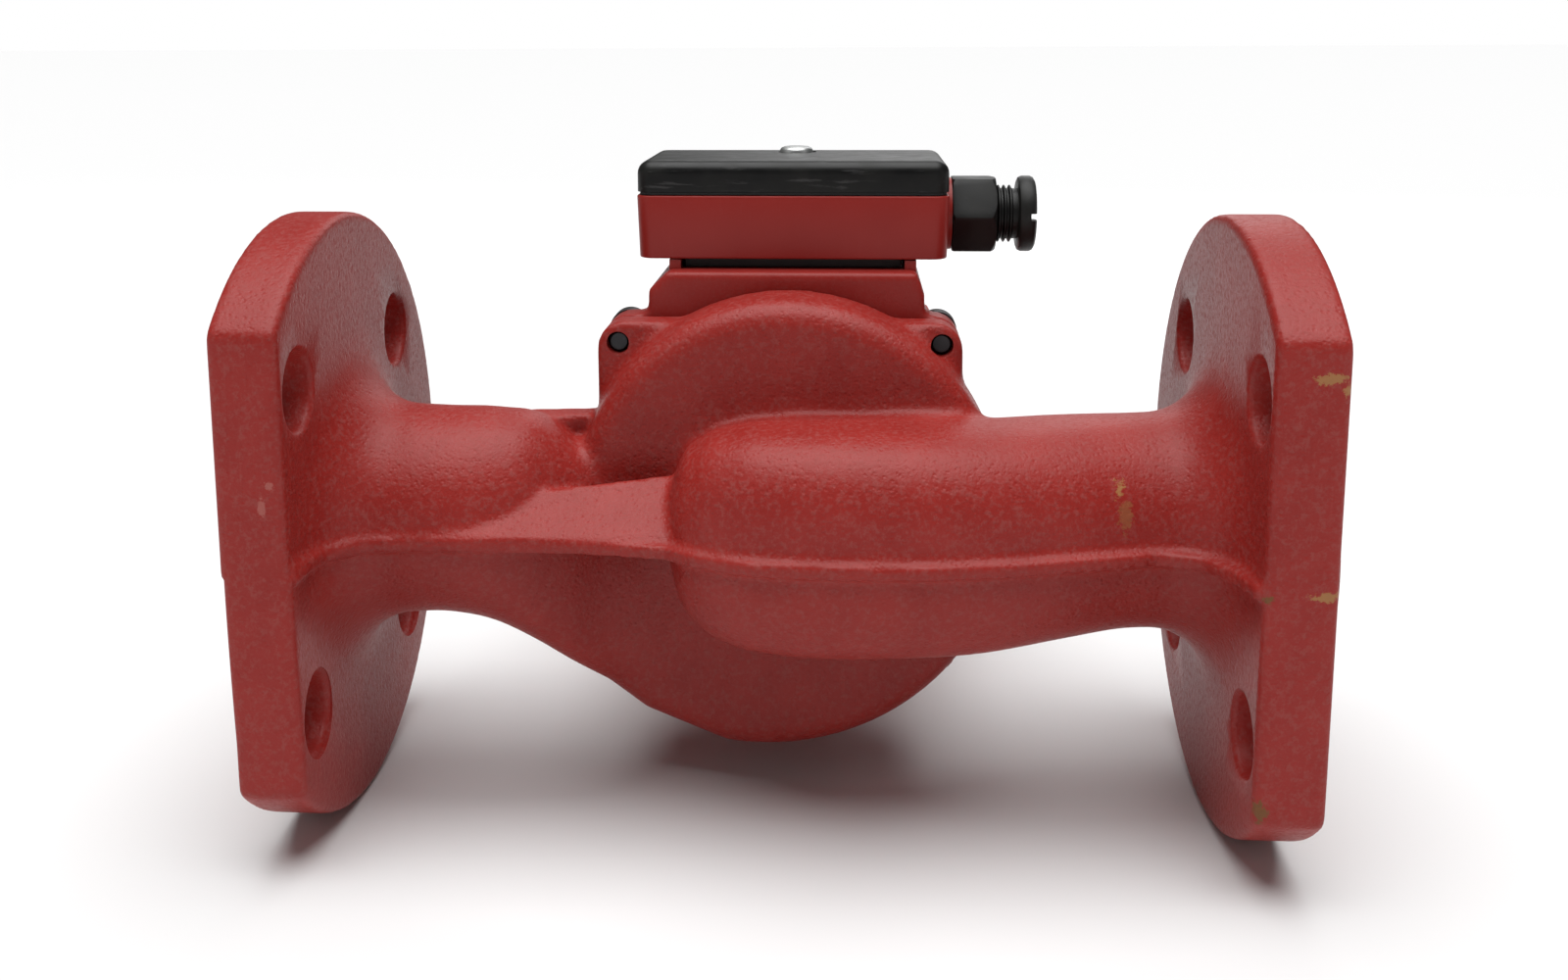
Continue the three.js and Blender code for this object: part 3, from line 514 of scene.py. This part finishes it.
# Any other material: a colour that drifts between two, with its own grain and lines.
def plainFinish(name, look):
    uniform = {"Metallic": look.get("metal", 0.0), "Coat Weight": look.get("coat", 0.0),
               "Specular IOR Level": look.get("specular", 0.5)}
    material, tree, shader, where = startFinish(name, uniform)
    grain = useGroup(tree, "grain", {"Where": where, "Lumps": look.get("lumps", 140.0),
                                     "Grains": look.get("grains", 1500.0)})
    colour = mixColour(tree, ramp(tree, grain["Tone"], 0.3, 0.7), look["dark"], look["light"])
    lines = useGroup(tree, "scratch", {"Where": where, "Stretch": look.get("stretch", (14, 1, 14)),
                                       "Scale": look.get("lineScale", 60.0)})["Mask"]
    shown = math2(tree, "MULTIPLY", lines, look.get("lines", 0.1))
    colour = mixColour(tree, shown, colour, look["lineShade"])
    tree.links.new(colour, shader.inputs["Base Color"])
    low, high = look["gloss"]
    gloss = addNode(tree, "MapRange", {"Value": grain["Tone"], "From Min": 0.3, "From Max": 0.7,
                                       "To Min": low, "To Max": high})
    tree.links.new(gloss.outputs["Result"], shader.inputs["Roughness"])
    setBump(tree, shader, grain["Height"], look.get("relief", 0.15), look.get("depth", 0.1) * mm)
    return material


ochre = (0.34, 0.15, 0.055)
rust = (0.17, 0.065, 0.02)
stain = (0.27, 0.07, 0.03)
scuffed = (0.36, 0.09, 0.075)
redBase = {"dark": (0.265, 0.017, 0.013), "light": (0.30, 0.022, 0.017), "dust": (0.29, 0.07, 0.062),
           "rubbed": (0.42, 0.12, 0.10), "scratch": 0.06, "specular": 0.22, "patches": []}
castLook = {**redBase, "lumps": 70.0, "grains": 720.0, "speckle": 0.5, "coat": 0.04, "gloss": (0.36, 0.58),
            "relief": 0.6, "depth": 0.6,
            "patches": [(80.5, -26, 17, 4.2, (1.3, 1, 0.6), ochre), (81.5, -27, 9, 3.6, (1.4, 1, 0.5), stain),
                        (118, -52, 46.5, 2.6, (0.5, 1, 1.4), ochre), (122, -52, 44, 1.8, (1, 1, 0.8), ochre),
                        (120, -52, -1.2, 3.0, (0.5, 1, 1.8), ochre), (108, -52, -51, 3.0, (1, 1, 0.7), rust),
                        (107.5, -52, -2, 2.0, (0.8, 1, 1.2), rust),
                        (-112, -52, 15, 2.2, (1.6, 1, 0.6), scuffed), (-110, -52, 20, 1.5, (0.8, 1, 1), scuffed)]}
motorLook = {**redBase, "lumps": 60.0, "grains": 1500.0, "speckle": 0.25, "coat": 0.04, "gloss": (0.36, 0.5),
             "relief": 0.25, "depth": 0.25}
boxLook = {**redBase, "lumps": 40.0, "grains": 1900.0, "speckle": 0.08, "coat": 0.04, "gloss": (0.36, 0.42),
           "relief": 0.08, "depth": 0.15, "scratch": 0.04}

finishes = {
    "cast_red": redPaint("castRed", castLook),
    "motor_red": redPaint("motorRed", motorLook),
    "box_red": redPaint("boxRed", boxLook),
}
plainLooks = {
    "black_plastic": {"dark": (0.004, 0.004, 0.004), "light": (0.008, 0.008, 0.007), "gloss": (0.34, 0.46),
                      "specular": 0.25, "lineShade": (0.12, 0.12, 0.12), "lines": 0.25, "stretch": (1, 9, 9),
                      "relief": 0.2},
    "black_gland": {"dark": (0.005, 0.005, 0.005), "light": (0.009, 0.009, 0.008), "gloss": (0.38, 0.52),
                    "specular": 0.28, "lineShade": (0.06, 0.06, 0.06), "relief": 0.2},
    "stainless": {"dark": (0.50, 0.50, 0.49), "light": (0.66, 0.66, 0.65), "metal": 1.0,
                  "gloss": (0.22, 0.34), "lineShade": (0.42, 0.42, 0.41), "lines": 0.35},
    "zinc_steel": {"dark": (0.42, 0.43, 0.43), "light": (0.58, 0.59, 0.58), "metal": 1.0,
                   "gloss": (0.32, 0.48), "lineShade": (0.36, 0.36, 0.34), "lines": 0.2},
    "dark_steel": {"dark": (0.030, 0.030, 0.032), "light": (0.06, 0.06, 0.063), "metal": 0.8,
                   "gloss": (0.38, 0.5), "lineShade": (0.15, 0.15, 0.15)},
    "laminations": {"dark": (0.16, 0.16, 0.17), "light": (0.27, 0.27, 0.28), "metal": 0.9,
                    "gloss": (0.4, 0.55), "lineShade": (0.08, 0.08, 0.08), "lines": 0.7,
                    "stretch": (0.4, 26, 0.4), "lineScale": 70.0},
    "copper_wire": {"dark": (0.36, 0.12, 0.05), "light": (0.52, 0.21, 0.09), "metal": 0.85, "coat": 0.6,
                    "gloss": (0.28, 0.42), "lineShade": (0.16, 0.05, 0.02), "lines": 0.5},
    "brass": {"dark": (0.50, 0.34, 0.12), "light": (0.66, 0.48, 0.20), "metal": 1.0, "gloss": (0.24, 0.38),
              "lineShade": (0.36, 0.24, 0.08), "lines": 0.25},
    "ceramic": {"dark": (0.78, 0.75, 0.68), "light": (0.86, 0.84, 0.78), "gloss": (0.22, 0.3),
                "lineShade": (0.7, 0.66, 0.6)},
    "carbon": {"dark": (0.018, 0.018, 0.02), "light": (0.035, 0.035, 0.038), "gloss": (0.4, 0.55),
               "lineShade": (0.07, 0.07, 0.07)},
    "rubber": {"dark": (0.012, 0.012, 0.012), "light": (0.024, 0.024, 0.024), "gloss": (0.66, 0.82),
               "lineShade": (0.05, 0.05, 0.05)},
    "terminal_plastic": {"dark": (0.40, 0.39, 0.34), "light": (0.48, 0.47, 0.42), "gloss": (0.42, 0.52),
                         "lineShade": (0.3, 0.29, 0.25)},
    "capacitor_plastic": {"dark": (0.58, 0.58, 0.54), "light": (0.68, 0.68, 0.64), "gloss": (0.26, 0.36),
                          "lineShade": (0.5, 0.5, 0.46)},
    "lead_brown": {"dark": (0.055, 0.022, 0.012), "light": (0.085, 0.036, 0.02), "gloss": (0.36, 0.48),
                   "lineShade": (0.14, 0.08, 0.05)},
    "lead_blue": {"dark": (0.014, 0.045, 0.21), "light": (0.022, 0.07, 0.29), "gloss": (0.36, 0.48),
                  "lineShade": (0.1, 0.16, 0.4)},
    "lead_grey": {"dark": (0.14, 0.14, 0.14), "light": (0.2, 0.2, 0.2), "gloss": (0.36, 0.48),
                  "lineShade": (0.3, 0.3, 0.3)},
    "plate_metal": {"dark": (0.52, 0.52, 0.51), "light": (0.66, 0.66, 0.65), "metal": 1.0,
                    "gloss": (0.3, 0.42), "lineShade": (0.42, 0.42, 0.42), "lines": 0.4, "stretch": (1, 14, 14)},
}
for slotName, plainLook in plainLooks.items():
    firstWord, *otherWords = slotName.split("_")
    finishes[slotName] = plainFinish(firstWord + "".join(word.title() for word in otherWords), plainLook)


# Pump housing
print("pump housing")
housing = {
    "flangeRadius": 75, "flangeThickness": 16, "faceHeight": 2, "flat": 52, "edge": 1.6, "faceRadius": 44,
    "pipeRadius": 26, "neckFillet": 17, "boltCircle": 55, "boltRadius": 9.5, "boltFlare": 1.1,
    "wall": 6, "jointY": 20, "frontY": -2, "voluteRadius": 51.5, "voluteGrowth": 11.5, "voluteEdge": 6.5,
    "earHalf": 46.4, "earRound": 7, "earFront": 10, "boltPitch": 41, "threadRadius": 2.9,
    "partingZ": -1.2, "ribThickness": 3.2, "mouldShift": 1.2, "voxel": 0.9, "fillets": 34, "ribFillets": 5,
    "triangles": 185000,
}
# Sections of the ducts: x, lowest and highest y, lowest and highest z, and how square.
discharge = [(-112, -20, 20, -20, 20, 2), (-95, -26, 26, -26, 26, 2), (-82, -25.8, 26, -26, 26, 2),
             (-70, -24, 25.5, -28.5, 25.5, 2.1), (-60, -20, 23.5, -34, 23.5, 2.3),
             (-52, -14, 19.8, -40, 17, 2.5), (-42, -6, 19.2, -47.5, 8, 2.8), (-26, -2, 19, -56, -24, 2.8)]
suction = [(112, -20, 20, -20, 20, 2), (95, -26, 26, -26, 26, 2), (84, -27.5, 25, -26.2, 26, 2.1),
           (68, -32, 21, -27, 26, 2.4), (50, -37, 14, -28, 26, 2.7), (28, -40, 9, -28.3, 26.5, 2.9),
           (4, -39.5, 6, -28, 26.5, 2.9), (-9, -37, 5, -26.5, 25.5, 2.7), (-18, -32.5, 4, -22.5, 22, 2.5),
           (-23, -27.5, 2, -16.5, 16.5, 2.2), (-25.5, -20.5, -3, -8.5, 8.5, 2),
           (-26.6, -16.5, -7, -4.5, 4.5, 2)]


# A smooth curve through the sections, so that none of them shows as a crease.
def smoothly(x, places, values):
    slopes = np.gradient(values, places)
    k = int(np.clip(np.searchsorted(places, x) - 1, 0, len(places) - 2))
    width = places[k + 1] - places[k]
    t = (x - places[k]) / width
    return (values[k] * (1 + 2 * t) * (1 - t) ** 2 + values[k + 1] * t * t * (3 - 2 * t)
            + slopes[k] * width * t * (1 - t) ** 2 - slopes[k + 1] * width * t * t * (1 - t))


# A circle drawn out along X through many stations, each then shaped to its section.
def duct(name, sections, inset=0, around=56, between=5):
    table = np.array(sections, float)
    table = table[np.argsort(table[:, 0])]
    places = []
    for left, right in zip(table[:-1, 0], table[1:, 0]):
        places += [left + (right - left) * step / between for step in range(between)]
    places.append(table[-1, 0])
    nothingSelected()
    bpy.ops.mesh.primitive_circle_add(vertices=around, radius=1, location=(places[0], 0, 0),
                                      rotation=(0, math.pi / 2, 0), fill_type="NGON")
    piece = bpy.context.object
    piece.name = name
    placeInMesh(piece)
    editMode(piece)
    bpy.ops.mesh.select_all(action="SELECT")
    for before, after in zip(places, places[1:]):
        bpy.ops.mesh.extrude_region_move(TRANSFORM_OT_translate={"value": (after - before, 0, 0)})
    objectMode()
    for vertex in piece.data.vertices:
        x, across, up = vertex.co
        y0, y1, z0, z1, square = (smoothly(x, table[:, 0], table[:, k]) for k in range(1, 6))
        power = 2 / square
        y = (y0 + y1) / 2 + ((y1 - y0) / 2 - inset) * math.copysign(abs(across) ** power, across)
        z = (z0 + z1) / 2 + ((z1 - z0) / 2 - inset) * math.copysign(abs(up) ** power, up)
        vertex.co = at(x, y, z)
    faceOutwards(piece)
    return piece


def flangeDisc(side):
    outer = side * (halfLength - housing["faceHeight"])
    inner = outer - side * housing["flangeThickness"]
    disc = rod("flangeDisc", "X", housing["flangeRadius"], min(inner, outer), max(inner, outer), steps=120)
    editMode(disc)
    bpy.ops.mesh.select_all(action="SELECT")
    bpy.ops.mesh.bisect(plane_co=at(0, -housing["flat"], 0), plane_no=(0, 1, 0), use_fill=True,
                        clear_inner=True)
    objectMode()
    faceOutwards(disc)
    bevelEdges(disc, housing["edge"], 3)
    return disc


def neck(side):
    inner = halfLength - housing["faceHeight"] - housing["flangeThickness"]
    pipe, fillet = housing["pipeRadius"], housing["neckFillet"]
    start = inner - fillet
    profile = [(0, start - 6), (pipe - 1, start - 6), (pipe, start)]
    for step in range(1, 11):
        angle = math.radians(90 * step / 10)
        profile.append((pipe + fillet * (1 - math.cos(angle)), start + fillet * math.sin(angle)))
    profile += [(pipe + fillet, inner + 2), (0, inner + 2)]
    return turned("neck", [(radius, side * along) for radius, along in profile], "X", steps=72)


def voluteOutline(inset):
    points = []
    lastTurn = 282
    for step in range(73):
        turn = lastTurn * step / 72
        radius = housing["voluteRadius"] + housing["voluteGrowth"] * (turn / 270) ** 1.6 - inset
        angle = math.radians(180 - turn)
        points.append((radius * math.cos(angle), radius * math.sin(angle)))
    return points + [(-34, -54 + inset), (-50 + inset, -42 + inset), (-53 + inset, -26)]


def volute():
    piece = plate("volute", voluteOutline(0), "Y", housing["frontY"], housing["jointY"])
    bevelRim(piece, 1, housing["frontY"] * mm, housing["voluteEdge"], 5)
    return piece


def partingRib():
    front = [(-106, -50), (-103.5, -36), (-97, -29), (-86, -27.2), (-60, -27.2), (-40, -28), (-25, -30.5),
             (-17, -36), (-4, -41.2), (16, -42.5), (36, -41.9), (56, -38.2), (74, -33), (89, -28.8),
             (98, -31.4), (103.3, -40), (105.6, -51.5)]
    back = [(106, -20), (60, -10), (-10, -10), (-20, 2), (-58, 2), (-80, -16), (-106, -20)]
    low = housing["partingZ"] - housing["ribThickness"] / 2
    return plate("partingRib", front + back, "Z", low, low + housing["ribThickness"])


# The sloping top of the rib's web, higher towards the suction duct.
def ribWeb():
    piece = block("ribWeb", (-88, -20), (-27, -4), (-1.5, 2))
    for vertex in piece.data.vertices:
        local = (vertex.co - at(0, 0, 0)) / mm
        if local.z > 0:
            right = local.x > -50
            behind = local.y > -15
            if behind:
                vertex.co = at(local.x, -10.5, 13) if right else at(local.x, -20, 6)
            else:
                vertex.co = at(local.x, local.y, 1.8 if right else 0.2)
    return piece


def topWeb():
    outline = [(-76, 4), (-60, 7), (-44, housing["earFront"]), (-36, 8), (-36, housing["jointY"] - 1),
               (-76, 14)]
    return plate("topWeb", outline, "Z", 19, 22.4)


# Under the top web, where the pipe drops away from it.
def webFoot():
    return block("webFoot", (-62, -40), (9.5, housing["jointY"] - 1.5), (6, 20.5))


def boltPlaces(pitch):
    return [(-pitch, pitch), (pitch, pitch), (pitch, -pitch), (-pitch, -pitch)]


def flangeHole(side, y, z):
    outer = halfLength - housing["faceHeight"]
    inner = outer - housing["flangeThickness"]
    radius, flare = housing["boltRadius"], housing["boltFlare"]
    profile = [(0, inner - 9), (radius + flare, inner - 9), (radius + flare, inner - 0.05),
               (radius + flare * 0.3, inner + flare * 0.4), (radius, inner + flare * 1.3),
               (radius, outer - flare * 1.3), (radius + flare * 0.3, outer - flare * 0.4),
               (radius + flare, outer + 0.05), (radius + flare, outer + 4), (0, outer + 4)]
    return turned("flangeHole", [(r, side * along) for r, along in profile], "X", (0, y, z), 40)


def pumpCasting():
    half, joint = housing["earHalf"], housing["jointY"]
    ears = plate("ears", roundedOutline((-half, half), (-half, half), housing["earRound"]), "Y",
                 housing["earFront"], joint)
    body = joined("body", [flangeDisc(1), flangeDisc(-1), neck(1), neck(-1), volute(), ears,
                           duct("dischargeDuct", discharge), duct("suctionDuct", suction)])
    castSkin(body, housing["voxel"], 1, housing["fillets"])
    casting = joined("pumpCasting", [body, partingRib(), ribWeb(), topWeb(), webFoot()])
    castSkin(casting, housing["voxel"], 2, housing["ribFillets"])
    shiftLowerMould(casting)
    thinned(casting, housing["triangles"])
    wall = housing["wall"]
    end = (-26, 26, -26, 26, 2)
    motorSide = joint + 30
    tools = [
        duct("dischargeBore", [(-131, *end)] + discharge[1:], wall, 40, 3),
        duct("suctionBore", [(131, *end)] + suction[1:-2], wall, 40, 3),
        plate("channel", voluteOutline(wall), "Y", 4.5, 15),
        rod("motorOpening", "Y", 45, 11, motorSide), rod("sealSeat", "Y", 47.6, 18, motorSide),
        rod("eye", "Y", 20, -14, 5.5), block("jointFace", (-90, 90), (joint, motorSide), (-90, 90)),
    ]
    for side in (-1, 1):
        face = side * halfLength
        tools.append(block("faceCut", sorted((face, face + side * 5)), (-90, 90), (-90, 90)))
        for y, z in boltPlaces(housing["boltCircle"] * math.sqrt(0.5)):
            tools.append(flangeHole(side, y, z))
    for x, z in boltPlaces(housing["boltPitch"]):
        tools.append(rod("screwHole", "Y", housing["threadRadius"], housing["earFront"] - 3, joint + 1,
                         (x, 0, z), 24))
    raised = [ring("raisedFace", "X", 20, housing["faceRadius"], side * (halfLength - 3.5),
                   side * halfLength, steps=96) for side in (-1, 1)]
    boolean(casting, raised, "UNION")
    boolean(casting, tools)
    return finished(casting, finishes["cast_red"], "pump_housing", angle=50)


# The mould's lower half sat a little to the right, which leaves a step on the outlet flange's rim.
def shiftLowerMould(piece):
    for vertex in piece.data.vertices:
        x, y, z = (vertex.co - at(0, 0, 0)) / mm
        if x < -105 and z < housing["partingZ"]:
            depth = min(1.0, housing["partingZ"] - z)
            outwards = float(np.interp(math.hypot(y, z), (38, 66), (0, 1)))
            vertex.co.x += housing["mouldShift"] * depth * outwards * mm


pumpCasting()


# Motor housing
print("motor housing")
motor = {
    "y": (20.3, 138), "radius": 48, "bore": 43.5, "endWall": 7, "endRound": 6, "bossDepth": 10,
    "fins": 15, "finHeight": 5, "finThickness": 3, "plinthX": (-29.4, 35), "plinthEndY": 67,
    "plinthTop": 57.8, "leadX": (-14, -3), "leadY": (37.9, 48.9), "screwX": (-22, 28), "screwY": 33,
    "voxel": 1.0, "fillets": 12, "triangles": 150000,
}


def plinth():
    left, right = motor["plinthX"]
    top = motor["plinthTop"]
    outline = [(left - 5, 0), (right + 2, 0), (right + 2, top - 5.5), (right, top), (left, top),
               (left - 5, top - 5)]
    return plate("plinth", outline, "Y", motor["y"][0], motor["plinthEndY"])


def motorShell():
    front, back = motor["y"]
    radius, rounding = motor["radius"], motor["endRound"]
    profile = [(0, front), (radius, front), (radius, back - rounding)]
    for step in range(1, 7):
        angle = math.radians(90 * step / 6)
        profile.append((radius - rounding + rounding * math.cos(angle),
                        back - rounding + rounding * math.sin(angle)))
    profile.append((0, back))
    parts = [turned("shell", profile, "Y", steps=120), plinth()]
    half = housing["earHalf"]
    square = roundedOutline((-half, half), (-half, half), housing["earRound"])
    parts.append(plate("bosses", square, "Y", front, front + motor["bossDepth"]))
    for index in range(motor["fins"]):
        angle = math.radians(55 + 250 * index / (motor["fins"] - 1))
        fin = block("fin", (-motor["finThickness"] / 2, motor["finThickness"] / 2), (front + 17, back - 5),
                    (radius - 4, radius + motor["finHeight"]))
        fin.data.transform(Matrix.Translation(at(0, 0, 0)) @ Matrix.Rotation(angle, 4, "Y")
                           @ Matrix.Translation(-at(0, 0, 0)))
        parts.append(fin)
    shell = joined("motorShell", parts)
    castSkin(shell, motor["voxel"], 3, motor["fillets"])
    thinned(shell, motor["triangles"])
    tools = [rod("sealLand", "Y", 47.8, front - 5, front + 1.4),
             rod("bore", "Y", motor["bore"], front - 1, back - motor["endWall"]),
             rod("ventHole", "Y", 6.6, back - 8, back + 2),
             block("frontFace", (-90, 90), (front - 9, front), (-90, 90)),
             block("leadHole", motor["leadX"], motor["leadY"], (30, 70))]
    for x, z in boltPlaces(housing["boltPitch"]):
        tools.append(rod("boltHole", "Y", housing["threadRadius"] + 0.3, front - 1, front + 12,
                         (x, 0, z), 24))
        tools.append(rod("headRoom", "Y", 6.3, front + motor["bossDepth"], back + 1, (x, 0, z), 32))
    boolean(shell, tools)
    left, right = motor["plinthX"]
    boxLow = nodeBox("terminal_box_base")[0]
    rails = [block("rail", (x, x + 3), (boxLow.y + 1, motor["plinthEndY"]),
                   (motor["plinthTop"] - 1, boxLow.z - 0.3)) for x in (left, right - 3)]
    boolean(shell, rails, "UNION")
    boolean(shell, [rod("baseScrewHole", "Z", 2.3, 47, 60, (x, motor["screwY"], 0), 20)
                    for x in motor["screwX"]])
    return finished(shell, finishes["motor_red"], "motor_housing", angle=40)


motorShell()


# Terminal box
print("terminal box")
terminalBox = {"wall": 3, "corner": 4, "draft": 0.5, "coverRound": 3.4, "coverEdge": 0.2,
               "screwAt": (2.7, 60), "bossRadius": 9.7, "sealWidth": 2.6}
gland = {"y": 48, "z": 70.2, "seatX": 45.2, "hexLength": 11.5, "neck": 5.9, "head": 4.6, "hex": 19.4,
         "thread": 7.7, "bore": 5.3, "headRadius": 10.2, "pitch": 1.5, "engaged": 3.0}


def boxBase():
    low, high = nodeBox("terminal_box_base")
    right = nodeBox("terminal_box_cover")[1].x + terminalBox["coverEdge"]
    x, y, z = (low.x, right), (low.y, high.y), (low.z, nodeBox("cover_seal")[0].z - 0.15)
    wall, corner = terminalBox["wall"], terminalBox["corner"]
    tray = plate("boxBase", roundedOutline(x, y, corner), "Z", *z)
    middle = at((x[0] + x[1]) / 2, (y[0] + y[1]) / 2, 0)
    for vertex in tray.data.vertices:       # the mould's draft, narrower at the foot
        if vertex.co.z < (z[0] + 1) * mm:
            for axis in (0, 1):
                vertex.co[axis] -= math.copysign(terminalBox["draft"] * mm, vertex.co[axis] - middle[axis])
    bevelEdges(tray, 0.5, 3)
    inner = roundedOutline((x[0] + wall, x[1] - wall), (y[0] + wall, y[1] - wall), 1.5)
    boolean(tray, [plate("hollow", inner, "Z", z[0] + wall, z[1] + 2)])
    centre = (0, gland["y"], gland["z"])
    boss = rod("glandBoss", "X", terminalBox["bossRadius"], x[1] - wall, gland["seatX"] - 0.3, centre, 64)
    post = rod("coverPost", "Z", 4.6, z[0] + 1, z[1], (*terminalBox["screwAt"], 0), 40)
    boolean(tray, [boss, post], "UNION")
    tools = [rod("entry", "X", 8.3, x[1] - 10, x[1] + 5, centre, 48),
             rod("postThread", "Z", 2.3, z[0] + wall + 1, z[1] + 1, (*terminalBox["screwAt"], 0), 24),
             rod("earthHole", "Z", 2, z[0] + 0.8, z[0] + wall + 1, (-30, 42, 0), 20),
             block("leadHole", motor["leadX"], motor["leadY"], (z[0] - 1, z[0] + wall + 1))]
    tools += [rod("screwHole", "Z", 2.3, z[0] - 1, z[0] + wall + 1, (place, motor["screwY"], 0), 20)
              for place in motor["screwX"]]
    boolean(tray, tools)
    return finished(tray, finishes["box_red"], "terminal_box_base")


def boxCover():
    low, high = nodeBox("terminal_box_cover")
    cover = plate("boxCover", roundedOutline((low.x, high.x), (low.y, high.y), terminalBox["corner"], 8), "Z",
                  low.z, high.z)
    bevelRim(cover, 2, high.z * mm, terminalBox["coverRound"], 6)
    edge = terminalBox["sealWidth"]
    inner = roundedOutline((low.x + edge, high.x - edge), (low.y + edge, high.y - edge), 2)
    place = (*terminalBox["screwAt"], 0)
    tools = [plate("coverHollow", inner, "Z", low.z - 1, high.z - 2.5),
             rod("bossNotch", "X", terminalBox["bossRadius"] + 0.3, high.x - 12, high.x + 5,
                 (0, gland["y"], gland["z"]), 64),
             rod("screwHole", "Z", 2.4, low.z, high.z + 1, place, 24),
             turned("screwRecess", [(0, high.z - 1.6), (5.3, high.z - 1.6), (5.3, high.z - 0.3),
                                    (5.8, high.z + 0.1), (5.8, high.z + 1), (0, high.z + 1)],
                    "Z", place, 40)]
    boolean(cover, tools)
    return finished(cover, finishes["black_plastic"], "terminal_box_cover")


boxBase()
boxCover()


# Cable gland
print("cable gland")


def glandBody():
    seat, face = gland["seatX"], gland["seatX"] + gland["hexLength"]
    centre = (0, gland["y"], gland["z"])
    corner = gland["hex"] / math.sqrt(3) + 0.1
    body = plate("glandBody", hexagonOutline(gland["hex"], gland["y"], gland["z"]), "X", seat, face)
    blunt = turned("blunt", [(0, seat), (corner - 0.6, seat), (corner, seat + 0.6), (corner, face - 1.4),
                             (corner - 1.5, face), (0, face)], "X", centre, 72)
    boolean(body, [blunt], "INTERSECT")
    bevelEdges(body, 0.25, 2, 25)
    boolean(body, [rod("tail", "X", 8, seat - 9, seat + 1, centre, 64)], "UNION")
    boolean(body, [rod("cableWay", "X", gland["bore"], seat - 10, seat + 4, centre, 48),
                   rod("threadWay", "X", gland["thread"] + 0.3, seat + 1.5, face + 1, centre, 64)])
    return finished(body, finishes["black_gland"], "gland_body", angle=25)


def glandScrew():
    face = gland["seatX"] + gland["hexLength"]
    inner, head = face - gland["engaged"], face + gland["neck"]
    end = head + gland["head"]
    outer, root = gland["thread"], gland["thread"] - 0.9
    profile = [(gland["bore"], inner), (root, inner)]
    x = inner + 0.3
    while x + gland["pitch"] < head:
        profile += [(root, x), (outer, x + 0.45), (outer, x + 0.75), (root, x + 1.2)]
        x += gland["pitch"]
    edge = gland["headRadius"]
    profile += [(root, head), (edge - 1.1, head), (edge - 0.4, head + 0.3), (edge, head + 1.1),
                (edge, end - 1.3), (edge - 0.35, end - 0.5), (edge - 1.2, end), (gland["bore"] + 1.2, end),
                (gland["bore"] + 0.3, end - 0.4), (gland["bore"], end - 1.2), (gland["bore"], inner)]
    screw = turned("glandScrew", profile, "X", (0, gland["y"], gland["z"]), 72)
    notch = block("notch", (end - 1.6, end + 1), (gland["y"] - 12, gland["y"] + 12),
                  (gland["z"] - 0.9, gland["z"] + 0.9))
    boolean(screw, [notch])
    return finished(screw, finishes["black_gland"], "gland_screw", angle=30)


glandBody()
glandScrew()


# Screws that show
print("screws")


def coverScrew():
    low, high = nodeBox("cover_screw")
    centre = ((low.x + high.x) / 2, (low.y + high.y) / 2, 0)
    head = high.z - 2
    screw = turned("coverScrew", [(0, low.z), (1.2, low.z), (2, low.z + 1), (2, head), (4.6, head),
                                  (4.6, head + 0.9), (4.2, head + 1.5), (3.2, head + 1.9), (0, high.z)],
                   "Z", centre, 48)
    slot = block("slot", (centre[0] - 6, centre[0] + 6), (centre[1] - 0.6, centre[1] + 0.6),
                 (head + 0.9, high.z + 1))
    boolean(screw, [slot])
    return finished(screw, finishes["zinc_steel"], "cover_screw")


def socketScrew(index, x, z):
    low, high = nodeBox(f"motor_bolt_{index}")
    head = high.y - 6
    profile = [(0, low.y), (2.1, low.y), (2.6, low.y + 0.6), (2.6, head), (5, head), (5, high.y - 0.8),
               (4.75, high.y - 0.25), (4.2, high.y), (0, high.y)]
    screw = turned(f"motorBolt{index}", profile, "Y", (x, 0, z), 48)
    boolean(screw, [plate("socket", hexagonOutline(5, x, z), "Y", high.y - 3, high.y + 1)])
    return finished(screw, finishes["dark_steel"], f"motor_bolt_{index}")


def ventScrew():
    low, high = nodeBox("vent_screw")
    head = high.y - 3.8
    profile = [(0, low.y), (5.2, low.y), (6, low.y + 0.9), (6, head), (8.6, head), (8.6, high.y - 1),
               (8.3, high.y - 0.4), (7.5, high.y), (0, high.y)]
    screw = turned("ventScrew", profile, "Y", steps=72)
    slot = block("slot", (-10, 10), (high.y - 2.2, high.y + 1), (-0.9, 0.9))
    boolean(screw, [slot])
    return finished(screw, finishes["brass"], "vent_screw")


def namePlate():
    low, high = nodeBox("nameplate")
    plateRing = ring("blankPlate", "Y", 13, 34, low.y, high.y, steps=120)
    bevelEdges(plateRing, 0.12, 2)
    return finished(plateRing, finishes["plate_metal"], "nameplate")


coverScrew()
for boltIndex, (boltX, boltZ) in enumerate(boltPlaces(housing["boltPitch"]), 1):
    socketScrew(boltIndex, boltX, boltZ)
ventScrew()
namePlate()


# Everything else keeps its solid, with its own finish
print("inner pieces")
for node, piece in frame["nodes"].items():
    piece.data.materials.clear()
    piece.data.materials.append(finishes[slotOf[node]])

nothingSelected()
